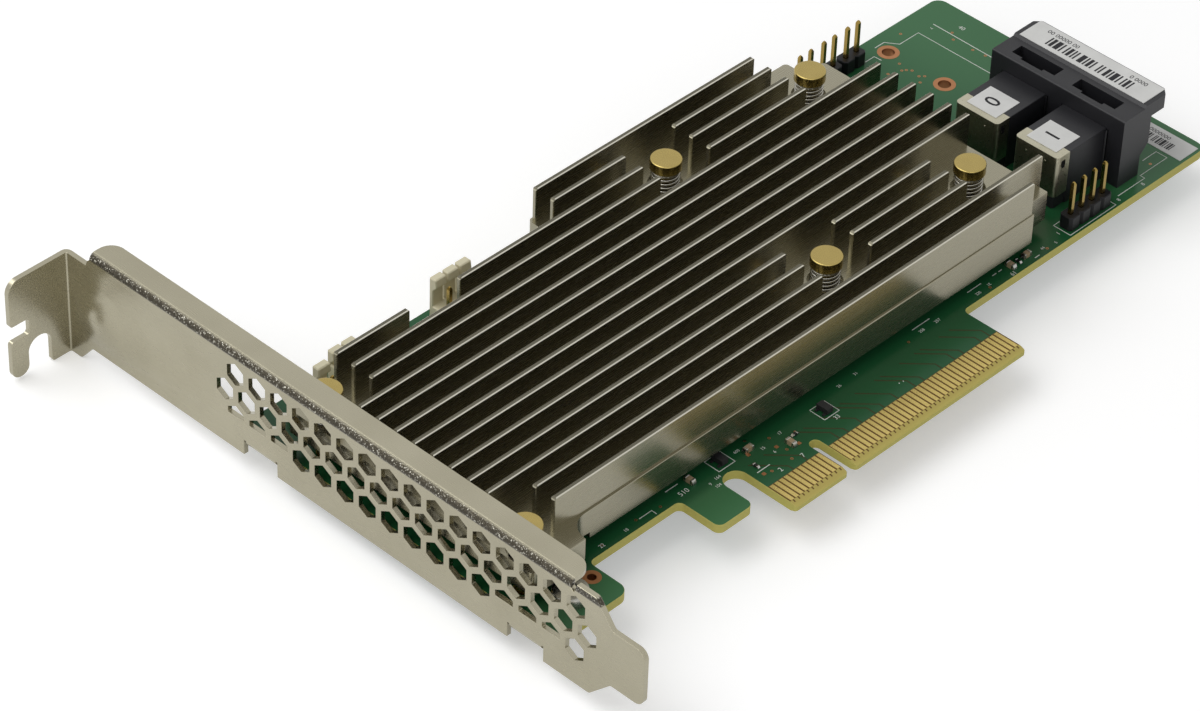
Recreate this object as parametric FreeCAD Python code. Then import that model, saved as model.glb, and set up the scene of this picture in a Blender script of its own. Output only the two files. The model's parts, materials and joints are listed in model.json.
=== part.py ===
"""Storage controller card: an 8-lane expansion card with a finned heat sink.

Frame: X runs along the card from the slot bracket to the free end, Y from the contact edge to the
top edge, Z away from the component side. The origin is where the centreline of the key notch meets
the end of the contact edge, on the component face of the board. Millimetres throughout.
"""
import FreeCAD
import Part
import math
import os

# ---------------------------------------------------------------- driving dimensions
# Board: low-profile card outline
BOARD_LENGTH = 155.65
BOARD_HEIGHT = 68.9
BOARD_THICK = 1.57
KEY_FROM_BRACKET_END = 57.28
SHOULDER_Y = 12.5
BOARD_CORNER_R = 1.9
BOARD_STEP_R = 1.0
FULL_ROUND = 0.49

# Contact edge: 8 lanes, 1 mm pitch
CONTACT_PITCH = 1.0
CONTACT_WIDTH = 0.7
CONTACT_THICK = 0.04
CONTACT_START_Y = 1.35
CONTACT_END_Y = 5.6
CONTACTS_BEFORE_KEY = 11
CONTACTS_AFTER_KEY = 38
KEY_WIDTH = 1.9
KEY_DEPTH = 8.2
KEY_TO_PAD = 0.55
END_TO_PAD = 0.65
EDGE_BEVEL = 1.2
EDGE_BEVEL_DEPTH = 0.42
CONTACT_EDGE_R = 0.5
HOOK_GAP = 4.1
HOOK_GAP_Y = 11.9
HOOK_WIDTH = 7.3
HOOK_TIP_Y = 4.6
HOOK_TIP_R = 1.2
CORNER_TAB_WIDTH = 15.0
CORNER_TAB_Y = 4.4

# Slot bracket: one folded sheet
SHEET = 0.86
BRACKET_LENGTH = 120.02
BRACKET_WIDTH = 18.42
BRACKET_TOP_Z = 14.38
BRACKET_GAP = 0.32
TONGUE_END_Y = -13.5
TONGUE_WIDTH = 10.19
TONGUE_LENGTH = 6.2
TONGUE_CORNER_R = 1.6
SHOULDER_SLOPE = 4.0
SHOULDER_SLOPE_LIP_SIDE = 3.2
LIP_DEPTH = 4.6
LIP_START_Y = 0.8
LIP_FROM_FLANGE = 6.1
LIP_CORNER_R = 2.6
LIP_RELIEF = 0.6
BLANK_R = 0.8
BEND_R = 0.3
FLANGE_DEPTH = 11.43
FLANGE_TOP_Z = 11.75
FLANGE_WIDTH = 19.0
FLANGE_CORNER_R = 2.2
FLANGE_SHOULDER = 3.2
FLANGE_SHOULDER_SLOPE = 2.6
FLANGE_NOTCH_TOP_Z = 3.4
FLANGE_NOTCH_HEIGHT = 2.9
FLANGE_NOTCH_DEPTH = 3.6
FLANGE_NOTCH_R = 0.6
FLANGE_SCREW_WIDTH = 4.42
FLANGE_SCREW_FROM_FACE = 5.95
FLANGE_SCREW_TOP_Z = -0.9
FLANGE_LOBE_SHORT = 0.6
FLANGE_LOBE_R = 1.55
VENT_FLATS = 3.5
VENT_PITCH = 4.6
VENT_MIDDLE_Z = 6.2
VENT_MIDDLE_COUNT = 17
VENT_FIRST_Y = -2.6
TAB_WIDTH = 6.3
TAB_RELIEF = 0.4
TAB_LENGTH = 15.4
TAB_LOWER_Y = 9.2
TAB_PAST_END_SCREW = 7.92
TAB_HOLE_FROM_FACE = 9.0
TAB_CORNER_R = 1.5
BRACKET_SCREW_D = 3.0
BRACKET_SCREW_HEAD_D = 5.5
BRACKET_SCREW_HEAD_H = 1.7
SCREW_PLAY = 0.1
SCREW_THROUGH = 0.6
DIMPLE_R = 6.0
DIMPLE_RISE = 0.8
DIMPLE_FROM_FOLD = 1.0
DIMPLE_OFF_MIDDLE = 0.8

# Heat sink: machined base with parallel fins
SINK_BASE_TOP_Z = 7.4
SINK_TOP_Z = 13.6
SINK_PLATE = 3.0
SINK_RIM_Z = 1.9
SINK_RIM_WALL = 1.6
FIN_THICK = 0.8
FIN_PITCH = 3.68
FIN_CORNER = 0.4
FIN_LEDGE = 0.25
SINK_FROM_SHOULDER = 2.0
FIN_PAST_LIP = 0.5
FIN_TO_BACK_FACE = 0.3
BODY_TO_BACK_FACE = 0.8
SINK_TO_BOARD_EDGE = 1.0
SINK_TO_BRACKET_END = 1.48
SINK_TO_CAGE = 4.5
SINK_STEP_Z = 1.15
EAR_LENGTH = 10.7
EAR_DEPTH = 3.95
RELIEF_LENGTH = 6.0
RELIEF_DEPTH = 2.35
STEP_FILLET = 0.94
SINK_CORNER_R = 0.8
SINK_INNER_R = 1.5
BACK_CORNER_LENGTH = 4.6
BACK_CORNER_DEPTH = 3.9
BOSS_WALL = 1.6
LAND_MARGIN = 1.0
SCREW_GRID_X = 32.9
SCREW_GRID_Y = 33.12
SCREW_TO_SINK_END = 8.1
BRACKET_END_SCREW_IN = 3.1
FIN_CLEARANCE = 5.35
FIN_TO_CORNER = 0.3
WING_FROM_SCREW = 21.9
WING_FIN_INSET = 0.6
SIDE_NOTCH_START = 23.5
SIDE_NOTCH_LENGTH = 9.7
SIDE_NOTCH_DEPTH = 3.7

# Spring-loaded screws of the heat sink
SCREW_HEAD_D = 5.1
SCREW_HEAD_H = 1.7
SCREW_HEAD_TOP_Z = 12.2
SCREW_SHANK_D = 2.5
SHANK_PLAY = 0.25
SCREW_HOLE_D = SCREW_SHANK_D + 2 * SHANK_PLAY
SPRING_COIL_D = 4.2
SPRING_WIRE_D = 0.5
SPRING_TURNS = 3.5
SPRING_SECTIONS = 6
SPRING_PLAY = 0.05
SPRING_SEAT_D = 5.6
SPRING_SEAT_DEPTH = 1.0
NUT_FLATS = 5.0
NUT_HEIGHT = 1.6

# Chips under the heat sink
PROCESSOR_SIZE = 27.0
PROCESSOR_LID = 22.0
PROCESSOR_HEIGHT = 2.9
PROCESSOR_BASE = 1.3
PROCESSOR_PAD = 0.3
MEMORY_LENGTH = 13.3
MEMORY_WIDTH = 7.5
MEMORY_HEIGHT = 1.2
MEMORY_PAD = 0.9
MEMORY_PITCH = 10.6
MEMORY_COUNT = 5
CAPACITOR_SIZE = (1.6, 0.8)
CAPACITOR_HEIGHT = 0.8
RESISTOR_SIZE = (1.0, 0.5)
RESISTOR_HEIGHT = 0.35
INDUCTOR_SIZE = 6.6
INDUCTOR_HEIGHT = 3.0
INDUCTOR_CORNER = 1.2
INDUCTOR_COUNT = 3
INDUCTOR_PITCH = 8.4
INDUCTOR_FROM_END = 12.0
INDUCTOR_FROM_SHOULDER = 7.4
REGULATOR_SIZE = 5.0
REGULATOR_HEIGHT = 0.95
REGULATOR_PITCH = 9.0
REGULATOR_FROM_END = 13.0
REGULATOR_FROM_NOTCH = 6.5
FLASH_SIZE = 5.2
FLASH_HEIGHT = 1.75
FLASH_FROM_PROCESSOR = 8.5
FLASH_FROM_SHOULDER = 9.7
LEAD_PITCH = 1.27
LEAD_SIZE = (1.4, 0.4)
LEAD_THICK = 0.25
PACKAGE_LIFT = 0.15
TRANSISTOR_SIZE = (1.3, 2.2)
TRANSISTOR_HEIGHT = 1.0
FOOT_SIZE = (0.7, 0.4)
STRIP_TO_PARTS = 1.9

# Two drive ports at the free end
FRAME_FROM_FREE_END = 18.67
FRAME_DEPTH = 5.1
FRAME_WIDTH = 27.0
FRAME_HEIGHT = 13.2
FRAME_FROM_SHOULDER = 3.1
BROW_REACH = 1.8
BROW_BOTTOM_Z = 5.5
HOOD_REACH = 6.2
HOOD_THICK = 2.6
HOOD_STEP = 0.4
HOOD_CORNER = 1.4
PORT_WIDTH = 8.7
PORT_PITCH = 12.25
PORT_HEIGHT = 10.0
PORT_FIRST_Y = 7.7
BAY_WIDTH = 9.6
BAY_FLOOR_Z = 1.0
BAY_TOP_Z = 9.8
LATCH_LENGTH = 8.7
LATCH_WIDTH = 2.4
LATCH_STEP = 0.5
LATCH_FROM_BACK = 2.8
CAGE_FROM_FRAME = 11.8
CAGE_DEPTH = 3.0
CAGE_SHEET = 0.25
CAGE_FOLD_R = 0.5
CAGE_BOTTOM_Z = 2.4
CAGE_HOLE_SIZE = (1.0, 1.1)
CAGE_HOLE_BELOW_TOP = 0.9
PORT_SLOT_HEIGHT = 1.3
PORT_SLOT_DEPTH = 3.5
PORT_SLOT_SIDE = 0.9
PORT_SLOT_RISE = 1.9
PORT_CONTACTS = 9
PORT_CONTACT_PITCH = 0.75
PORT_CONTACT_SIZE = (0.3, 0.2)
PORT_CONTACT_INSET = 0.4
NOSE_REACH = 1.4
NOSE_CLEARANCE = 0.3

# Pin headers
PIN_PITCH = 2.54
PIN_SIZE = 0.64
PIN_TOP_Z = 8.5
PIN_TAIL = 1.5
PIN_POINT = 0.4
HEADER_HEIGHT = 2.54
HEADER_CORNER = 0.45
PIN_HOLE_D = 1.0
SIGNAL_HEADER_PINS = 4
SIGNAL_HEADER_FROM_FRAME = 12.8
SIGNAL_HEADER_Y = 14.7
JUMPER_COUNT = 3
JUMPER_SPACING = 5.65
JUMPER_FROM_FRAME = 18.85
JUMPER_FROM_TOP = 2.8

# Plated holes at the free end
PLATED_HOLE_D = 2.3
PLATED_HOLE_PITCH = 12.05
PLATED_HOLE_FROM_TOP = 4.5
PLATED_HOLE_PAST_FRAME = 1.16
CORNER_HOLE_D = 1.5
CORNER_HOLE_FROM_END = 13.0
CORNER_HOLE_Y = 10.0

# Friction-lock headers by the top edge
LOCK_PITCH = 2.5
LOCK_DEPTH = 5.8
LOCK_BASE_Z = 2.8
LOCK_WALL = 0.8
LOCK_BUMP = 0.8
LOCK_BUMP_HEIGHT = 1.4
LOCK_BUMP_SLOPE = 0.9
LOCK_SLIT = 0.4
LOCK_PIN_FROM_BACK = 3.1
LOCK_PIN_BELOW_TOP = 0.8
CACHE_HEADER_PINS = 3
CACHE_HEADER_HEIGHT = 8.0
CACHE_HEADER_FROM_TOP = 1.6
CACHE_HEADER_FROM_WING = 21.0
SENSE_HEADER_PINS = 2
SENSE_HEADER_HEIGHT = 5.4
SENSE_HEADER_FROM_TOP = 1.0
SENSE_HEADER_FROM_END = 16.3
POWER_HEADER_PINS = 1
POWER_HEADER_HEIGHT = 6.2
POWER_HEADER_FROM_TOP = 2.9
POWER_HEADER_FROM_END = 11.5
POWER_HEADER_TAIL = -0.3

# Paper labels
LABEL_THICK = 0.1
PORT_LABEL_SIZE = (5.8, 6.0)
PORT_LABEL_FROM_CAGE = 1.2
FRAME_LABEL_SIZE = (5.3, 25.3)
BOARD_LABEL_SIZE = (4.6, 13.4)
BOARD_LABEL_FROM_END = 1.4
BOARD_LABEL_FROM_SHOULDER = 0.6

# ---------------------------------------------------------------- derived places
board_left = -KEY_FROM_BRACKET_END
board_right = board_left + BOARD_LENGTH
first_pad_x = KEY_WIDTH / 2 + KEY_TO_PAD
contacts_left = -first_pad_x - (CONTACTS_BEFORE_KEY - 1) * CONTACT_PITCH - END_TO_PAD
contacts_right = first_pad_x + (CONTACTS_AFTER_KEY - 1) * CONTACT_PITCH + END_TO_PAD
bracket_inner = board_left - BRACKET_GAP
bracket_outer = bracket_inner - SHEET
bracket_bottom_z = BRACKET_TOP_Z - BRACKET_WIDTH
flange_top_y = TONGUE_END_Y + BRACKET_LENGTH
flange_seat_y = flange_top_y - SHEET
flange_end_x = bracket_outer - FLANGE_DEPTH

frame_x = board_right - FRAME_FROM_FREE_END
frame_y = SHOULDER_Y + FRAME_FROM_SHOULDER
cage_x = frame_x - CAGE_FROM_FRAME
port_y = [frame_y + PORT_FIRST_Y + n * PORT_PITCH for n in range(2)]

sink_left = board_left + SINK_TO_BRACKET_END
sink_right = cage_x - SINK_TO_CAGE
sink_front = SHOULDER_Y + SINK_FROM_SHOULDER
first_row_y = sink_front + FIN_LEDGE + FIN_THICK / 2
fin_room = BOARD_HEIGHT - SINK_TO_BOARD_EDGE - FIN_THICK / 2 - first_row_y
fin_rows = 1 + int(fin_room / FIN_PITCH)
row_y = [first_row_y + n * FIN_PITCH for n in range(fin_rows)]
last_row = fin_rows - 1
wing_back = row_y[last_row] + FIN_THICK / 2 + FIN_TO_BACK_FACE
body_back = row_y[last_row - 2] + FIN_THICK / 2 + BODY_TO_BACK_FACE
fin_left = bracket_outer + LIP_DEPTH + FIN_PAST_LIP

far_screw_x = sink_right - SCREW_TO_SINK_END
near_screw_x = far_screw_x - SCREW_GRID_X
end_screw_x = sink_left + BRACKET_END_SCREW_IN
back_screw_row = last_row - 2
front_screw_row = back_screw_row - round(SCREW_GRID_Y / FIN_PITCH)
end_screw_row = last_row - 3
wing_left = near_screw_x - WING_FROM_SCREW
sink_screws = [
    (near_screw_x, row_y[front_screw_row]),
    (far_screw_x, row_y[front_screw_row]),
    (near_screw_x, row_y[back_screw_row]),
    (far_screw_x, row_y[back_screw_row]),
    (end_screw_x, row_y[0]),
    (end_screw_x, row_y[end_screw_row]),
]
processor_x = (near_screw_x + far_screw_x) / 2
processor_y = (row_y[front_screw_row] + row_y[back_screw_row]) / 2
memory_y = (sink_front + body_back) / 2

plate_bottom_z = SINK_BASE_TOP_Z - SINK_PLATE
spring_seat_z = SINK_BASE_TOP_Z - SPRING_SEAT_DEPTH
tab_screw_x = bracket_outer + TAB_HOLE_FROM_FACE
tab_upper_y = row_y[end_screw_row] + TAB_PAST_END_SCREW
tab_screws = [(tab_screw_x, TAB_LOWER_Y), (tab_screw_x, tab_upper_y)]

jumper_y = BOARD_HEIGHT - JUMPER_FROM_TOP
signal_pins = [(frame_x - SIGNAL_HEADER_FROM_FRAME + n * PIN_PITCH, SIGNAL_HEADER_Y)
               for n in range(SIGNAL_HEADER_PINS)]
jumper_pins = [[(frame_x - JUMPER_FROM_FRAME + n * JUMPER_SPACING + m * PIN_PITCH, jumper_y)
                for m in range(2)] for n in range(JUMPER_COUNT)]
plated_x = frame_x + PLATED_HOLE_PAST_FRAME
plated_holes = [(plated_x, BOARD_HEIGHT - PLATED_HOLE_FROM_TOP - n * PLATED_HOLE_PITCH)
                for n in range(2)]


def lock_pins(x0, back_y, count):
    """Pin places of one friction-lock header that starts at x0."""
    return [(x0 + (n + 0.5) * LOCK_PITCH, back_y - LOCK_PIN_FROM_BACK) for n in range(count)]


cache_header = (wing_left - CACHE_HEADER_FROM_WING, BOARD_HEIGHT - CACHE_HEADER_FROM_TOP,
                CACHE_HEADER_PINS)
sense_header = (board_left + SENSE_HEADER_FROM_END, BOARD_HEIGHT - SENSE_HEADER_FROM_TOP,
                SENSE_HEADER_PINS)
power_header = (board_left + POWER_HEADER_FROM_END, BOARD_HEIGHT - POWER_HEADER_FROM_TOP,
                POWER_HEADER_PINS)


# ---------------------------------------------------------------- helpers
def V(x, y, z=0.0):
    return FreeCAD.Vector(x, y, z)


def save(name, shape):
    """Write one node, checked for closed and valid solids."""
    solids = shape.Solids
    assert solids and all(s.isValid() and s.isClosed() for s in solids), name
    out = solids[0] if len(solids) == 1 else Part.makeCompound(solids)
    out.exportStep("parts/%s.step" % name)
    print("%-26s %3d solids %10.1f mm3" % (name, len(solids), sum(s.Volume for s in solids)))


def block(x0, x1, y0, y1, z0, z1):
    return Part.makeBox(x1 - x0, y1 - y0, z1 - z0, V(x0, y0, z0))


def centred(x, y, z0, z1, length, width):
    return block(x - length / 2, x + length / 2, y - width / 2, y + width / 2, z0, z1)


def rod(x, y, z0, z1, diameter):
    return Part.makeCylinder(diameter / 2, z1 - z0, V(x, y, z0))


def prism(x, y, z0, z1, flats, sides):
    """Regular prism across its flats: nuts, and the shanks, bores and bosses that heads cover."""
    radius = flats / 2 / math.cos(math.pi / sides)
    turns = [2 * math.pi * k / sides for k in range(sides)]
    return slab([(x + radius * math.cos(a), y + radius * math.sin(a)) for a in turns], z0, z1)


def outline(points):
    """Closed wire through (x, y, corner radius) points: each corner is rounded by its radius."""
    count = len(points)
    spots = [V(p[0], p[1]) for p in points]
    edges = []
    ends = []
    for n in range(count):
        here = spots[n]
        radius = points[n][2] if len(points[n]) > 2 else 0.0
        back = (spots[n - 1] - here).normalize()
        ahead = (spots[(n + 1) % count] - here).normalize()
        if radius <= 0:
            ends.append((here, here, None))
            continue
        half = back.getAngle(ahead) / 2
        reach = radius / math.tan(half)
        centre = here + (back + ahead).normalize() * (radius / math.sin(half))
        middle = centre + (here - centre).normalize() * radius
        ends.append((here + back * reach, here + ahead * reach, middle))
    for n in range(count):
        start, stop, middle = ends[n]
        if middle is not None:
            edges.append(Part.Arc(start, middle, stop).toShape())
        following = ends[(n + 1) % count][0]
        if stop.distanceToPoint(following) > 1e-6:
            edges.append(Part.LineSegment(stop, following).toShape())
    return Part.Wire(edges)


def slab(points, z0, z1):
    """Plate in the XY plane from a rounded outline."""
    face = Part.Face(outline(points))
    face.translate(V(0, 0, z0))
    return face.extrude(V(0, 0, z1 - z0))


def upright(points, x0, x1):
    """Plate in the YZ plane: points are (y, z, corner radius)."""
    shape = slab(points, 0, x1 - x0)
    turn = FreeCAD.Placement(V(x0, 0, 0), FreeCAD.Rotation(V(0, 1, 0), V(0, 0, 1), V(1, 0, 0), "XYZ"))
    shape.Placement = turn
    return shape


def crosswise(points, y0, y1):
    """Bar along Y from a profile in the XZ plane: points are (x, z, corner radius)."""
    shape = slab(points, 0, y1 - y0)
    turn = FreeCAD.Placement(V(0, y1, 0), FreeCAD.Rotation(V(1, 0, 0), V(0, 0, 1), V(0, -1, 0), "XYZ"))
    shape.Placement = turn
    return shape


def clipped(x, y, length, width, corner):
    """Rectangle about (x, y) with its corners cut off at 45 degrees."""
    x0, x1, y0, y1 = x - length / 2, x + length / 2, y - width / 2, y + width / 2
    return [(x0 + corner, y0), (x1 - corner, y0), (x1, y0 + corner), (x1, y1 - corner),
            (x1 - corner, y1), (x0 + corner, y1), (x0, y1 - corner), (x0, y0 + corner)]


# ---------------------------------------------------------------- circuit board
def board_outline():
    """Anticlockwise outline with corner tab, hook, contact tongue and key notch."""
    tab_right = board_left + CORNER_TAB_WIDTH
    hook_right = contacts_left - HOOK_GAP
    hook_left = hook_right - HOOK_WIDTH
    half_key = KEY_WIDTH / 2
    return [
        (board_left, CORNER_TAB_Y, BOARD_STEP_R),
        (tab_right, CORNER_TAB_Y, BOARD_CORNER_R),
        (tab_right, SHOULDER_Y, BOARD_STEP_R),
        (hook_left, SHOULDER_Y, BOARD_STEP_R),
        (hook_left, HOOK_TIP_Y, HOOK_TIP_R),
        (hook_right, HOOK_TIP_Y, HOOK_TIP_R),
        (hook_right, HOOK_GAP_Y, HOOK_GAP * FULL_ROUND),
        (contacts_left, HOOK_GAP_Y, HOOK_GAP * FULL_ROUND),
        (contacts_left, 0, CONTACT_EDGE_R),
        (-half_key, 0, CONTACT_EDGE_R),
        (-half_key, KEY_DEPTH, KEY_WIDTH * FULL_ROUND),
        (half_key, KEY_DEPTH, KEY_WIDTH * FULL_ROUND),
        (half_key, 0, CONTACT_EDGE_R),
        (contacts_right, 0, CONTACT_EDGE_R),
        (contacts_right, SHOULDER_Y, BOARD_STEP_R),
        (board_right, SHOULDER_Y, BOARD_CORNER_R),
        (board_right, BOARD_HEIGHT, BOARD_CORNER_R),
        (board_left, BOARD_HEIGHT, BOARD_CORNER_R),
    ]


def make_board():
    board = slab(board_outline(), -BOARD_THICK, 0)
    holes = [prism(x, y, -BOARD_THICK - 1, 1, SCREW_HOLE_D, 12) for x, y in sink_screws]
    holes += [prism(x, y, -BOARD_THICK - 1, 1, BRACKET_SCREW_D + 2 * SCREW_PLAY, 12)
              for x, y in tab_screws]
    holes += [rod(x, y, -BOARD_THICK - 1, 1, PLATED_HOLE_D) for x, y in plated_holes]
    holes.append(rod(board_left + CORNER_HOLE_FROM_END, CORNER_HOLE_Y, -BOARD_THICK - 1, 1, CORNER_HOLE_D))
    pins = signal_pins + [pin for pair in jumper_pins for pin in pair]
    for header in (cache_header, sense_header, power_header):
        pins += lock_pins(*header)
    holes += [prism(x, y, -BOARD_THICK - 1, 1, PIN_HOLE_D, 8) for x, y in pins]
    low, high = contacts_left - 1, contacts_right + 1
    for face_z, way in ((0, -1), (-BOARD_THICK, 1)):
        bevel = [V(0, -0.01, face_z - 0.01 * way), V(0, EDGE_BEVEL, face_z - 0.01 * way),
                 V(0, -0.01, face_z + way * EDGE_BEVEL_DEPTH)]
        wedge = Part.Face(Part.makePolygon(bevel + bevel[:1])).extrude(V(high - low, 0, 0))
        wedge.translate(V(low, 0, 0))
        holes.append(wedge)
    return board.cut(holes)


def make_contacts(z0):
    """One row of contact pads lying on a face of the tongue."""
    pads = []
    for side, count in ((-1, CONTACTS_BEFORE_KEY), (1, CONTACTS_AFTER_KEY)):
        for n in range(count):
            x = side * (first_pad_x + n * CONTACT_PITCH)
            pads.append(block(x - CONTACT_WIDTH / 2, x + CONTACT_WIDTH / 2,
                              CONTACT_START_Y, CONTACT_END_Y, z0, z0 + CONTACT_THICK))
    return Part.makeCompound(pads)


# ---------------------------------------------------------------- slot bracket
def vent_cutters():
    """Three staggered rows of hexagonal vents with flats parallel to Z."""
    cutters = []
    radius = VENT_FLATS / math.sqrt(3)
    row_step = VENT_PITCH * math.sqrt(3) / 2
    for row in (-1, 0, 1):
        count = VENT_MIDDLE_COUNT - abs(row)
        z = VENT_MIDDLE_Z + row * row_step
        for n in range(count):
            y = VENT_FIRST_Y + (n + abs(row) / 2) * VENT_PITCH
            corners = [(y + radius * math.sin(math.radians(60 * k)),
                        z + radius * math.cos(math.radians(60 * k)), 0) for k in range(6)]
            cell = upright(corners, bracket_outer - 1, bracket_inner + 1)
            if row < 0 and any(abs(y - tab_y) < (TAB_WIDTH + VENT_PITCH) / 2 + TAB_RELIEF
                               for _, tab_y in tab_screws):
                cell = cell.common(block(bracket_outer - 2, bracket_inner + 2, y - VENT_PITCH,
                                         y + VENT_PITCH, z, z + VENT_PITCH))
            cutters.append(cell)
    return cutters


def make_bracket():
    mid_z = BRACKET_TOP_Z - BRACKET_WIDTH / 2
    tongue_low = mid_z - TONGUE_WIDTH / 2
    tongue_high = mid_z + TONGUE_WIDTH / 2
    tongue_top_y = TONGUE_END_Y + TONGUE_LENGTH
    flange_low_z = FLANGE_TOP_Z - FLANGE_WIDTH
    lip_end_y = flange_top_y - LIP_FROM_FLANGE
    ear_y = flange_top_y - FLANGE_SHOULDER
    outer_r = BEND_R + SHEET
    fold_z = BRACKET_TOP_Z - outer_r
    body = upright([
        (TONGUE_END_Y, tongue_low, TONGUE_CORNER_R),
        (tongue_top_y, tongue_low, BLANK_R),
        (tongue_top_y + SHOULDER_SLOPE, bracket_bottom_z, BLANK_R),
        (ear_y - FLANGE_SHOULDER_SLOPE, bracket_bottom_z, BLANK_R),
        (ear_y, flange_low_z, BLANK_R),
        (flange_seat_y - BEND_R, flange_low_z, 0),
        (flange_seat_y - BEND_R, FLANGE_TOP_Z, 0),
        (lip_end_y + 1.5 * LIP_RELIEF, FLANGE_TOP_Z),
        (lip_end_y + LIP_RELIEF, fold_z - LIP_RELIEF),
        (lip_end_y, fold_z, 0),
        (LIP_START_Y, fold_z, 0),
        (LIP_START_Y - LIP_RELIEF, fold_z - LIP_RELIEF),
        (LIP_START_Y - 2 * LIP_RELIEF, BRACKET_TOP_Z),
        (tongue_top_y + SHOULDER_SLOPE_LIP_SIDE, BRACKET_TOP_Z, BLANK_R),
        (tongue_top_y, tongue_high, BLANK_R),
        (TONGUE_END_Y, tongue_high, TONGUE_CORNER_R),
    ], bracket_outer, bracket_inner)

    # Stiffening lip folded over the components, and the flange folded outwards
    lip_x = bracket_outer + outer_r
    lip = slab([(lip_x, LIP_START_Y, 0),
                (bracket_outer + LIP_DEPTH, LIP_START_Y, LIP_CORNER_R),
                (bracket_outer + LIP_DEPTH, lip_end_y, LIP_CORNER_R),
                (lip_x, lip_end_y, 0)], BRACKET_TOP_Z - SHEET, BRACKET_TOP_Z)
    lip_bend = quarter_bend(lip_x, fold_z, outer_r, 90, LIP_START_Y, lip_end_y)

    flange_bend = Part.makeCylinder(outer_r, FLANGE_WIDTH, V(bracket_inner - outer_r,
                                    flange_top_y - outer_r, flange_low_z), V(0, 0, 1), 90)
    flange_bend = flange_bend.cut(Part.makeCylinder(BEND_R, FLANGE_WIDTH, V(bracket_inner - outer_r,
                                  flange_top_y - outer_r, flange_low_z), V(0, 0, 1), 90))
    screw_x = bracket_outer - FLANGE_SCREW_FROM_FACE
    half = FLANGE_SCREW_WIDTH / 2
    bend_x = bracket_inner - outer_r
    notch_x = flange_end_x + FLANGE_NOTCH_DEPTH
    notch_low = FLANGE_NOTCH_TOP_Z - FLANGE_NOTCH_HEIGHT
    lobe_low = flange_low_z + FLANGE_LOBE_SHORT
    flange = crosswise([
        (bend_x, FLANGE_TOP_Z, 0),
        (flange_end_x, FLANGE_TOP_Z, FLANGE_CORNER_R),
        (flange_end_x, FLANGE_NOTCH_TOP_Z, FLANGE_NOTCH_R),
        (notch_x, FLANGE_NOTCH_TOP_Z, FLANGE_NOTCH_R),
        (notch_x, notch_low, FLANGE_NOTCH_R),
        (flange_end_x, notch_low, FLANGE_NOTCH_R),
        (flange_end_x, lobe_low, FLANGE_LOBE_R),
        (screw_x - half, lobe_low, FLANGE_LOBE_R),
        (screw_x - half, FLANGE_SCREW_TOP_Z, FLANGE_SCREW_WIDTH * FULL_ROUND),
        (screw_x + half, FLANGE_SCREW_TOP_Z, FLANGE_SCREW_WIDTH * FULL_ROUND),
        (screw_x + half, flange_low_z, FLANGE_NOTCH_R),
        (bend_x, flange_low_z, 0),
    ], flange_seat_y, flange_top_y)

    bracket = body.fuse([lip, lip_bend, flange_bend, flange])

    # Two tabs folded under the board, each from its own notch
    for _, y in tab_screws:
        notch_half = TAB_WIDTH / 2 + TAB_RELIEF
        bend_top = -BOARD_THICK + BEND_R
        notch = block(bracket_outer - 1, bracket_inner + 1, y - notch_half, y + notch_half,
                      bracket_bottom_z - 1, bend_top)
        bracket = bracket.cut(notch)
        bend = quarter_bend(bracket_outer + outer_r, bend_top, outer_r, 180,
                            y - TAB_WIDTH / 2, y + TAB_WIDTH / 2)
        tab = slab([(bracket_outer + outer_r, y - TAB_WIDTH / 2, 0),
                    (bracket_outer + TAB_LENGTH, y - TAB_WIDTH / 2, TAB_CORNER_R),
                    (bracket_outer + TAB_LENGTH, y + TAB_WIDTH / 2, TAB_CORNER_R),
                    (bracket_outer + outer_r, y + TAB_WIDTH / 2, 0)],
                   -BOARD_THICK - SHEET, -BOARD_THICK)
        bracket = bracket.fuse([bend, tab])
        bracket = bracket.cut(prism(tab_screw_x, y, -BOARD_THICK - SHEET - 1, 0, BRACKET_SCREW_D, 12))

    # Pressed boss beside the flange fold
    reach = (DIMPLE_R ** 2 + DIMPLE_RISE ** 2) / (2 * DIMPLE_RISE)
    boss_y = flange_seat_y - BEND_R - DIMPLE_R - DIMPLE_FROM_FOLD
    boss_z = FLANGE_TOP_Z - FLANGE_WIDTH / 2 + DIMPLE_OFF_MIDDLE
    centre = V(bracket_outer - DIMPLE_RISE + reach, boss_y, boss_z)
    low = V(0, boss_y - 2 * DIMPLE_R, boss_z - 2 * DIMPLE_R)
    window = Part.makeBox(reach, 4 * DIMPLE_R, 4 * DIMPLE_R, low + V(bracket_outer - reach, 0, 0))
    dome = Part.makeSphere(reach, centre).common(window)
    window = Part.makeBox(reach, 4 * DIMPLE_R, 4 * DIMPLE_R, low + V(bracket_inner - reach, 0, 0))
    hollow = Part.makeSphere(reach - SHEET, centre).common(window)
    bracket = bracket.fuse(dome).cut(hollow)
    return bracket.cut(vent_cutters()).removeSplitter()


def quarter_bend(x, z, outer_r, start, y0, y1):
    """Quarter ring along Y about (x, z): 90 turns a top edge over, 180 turns a bottom edge under."""
    ring = Part.makeCylinder(outer_r, y1 - y0, V(x, y0, z), V(0, 1, 0))
    ring = ring.cut(Part.makeCylinder(outer_r - SHEET, y1 - y0, V(x, y0, z), V(0, 1, 0)))
    if start == 90:
        quarter = block(x - outer_r, x, y0, y1, z, z + outer_r)
    else:
        quarter = block(x - outer_r, x, y0, y1, z - outer_r, z)
    return ring.common(quarter)


def make_bracket_screws():
    """Round-headed screws through the board into the threaded tabs."""
    screws = []
    for x, y in tab_screws:
        head = rod(x, y, 0, BRACKET_SCREW_HEAD_H, BRACKET_SCREW_HEAD_D)
        shank = prism(x, y, -BOARD_THICK - SHEET - SCREW_THROUGH, 0, BRACKET_SCREW_D - SCREW_PLAY, 12)
        screws.append(head.fuse(shank))
    return Part.makeCompound(screws)


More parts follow.
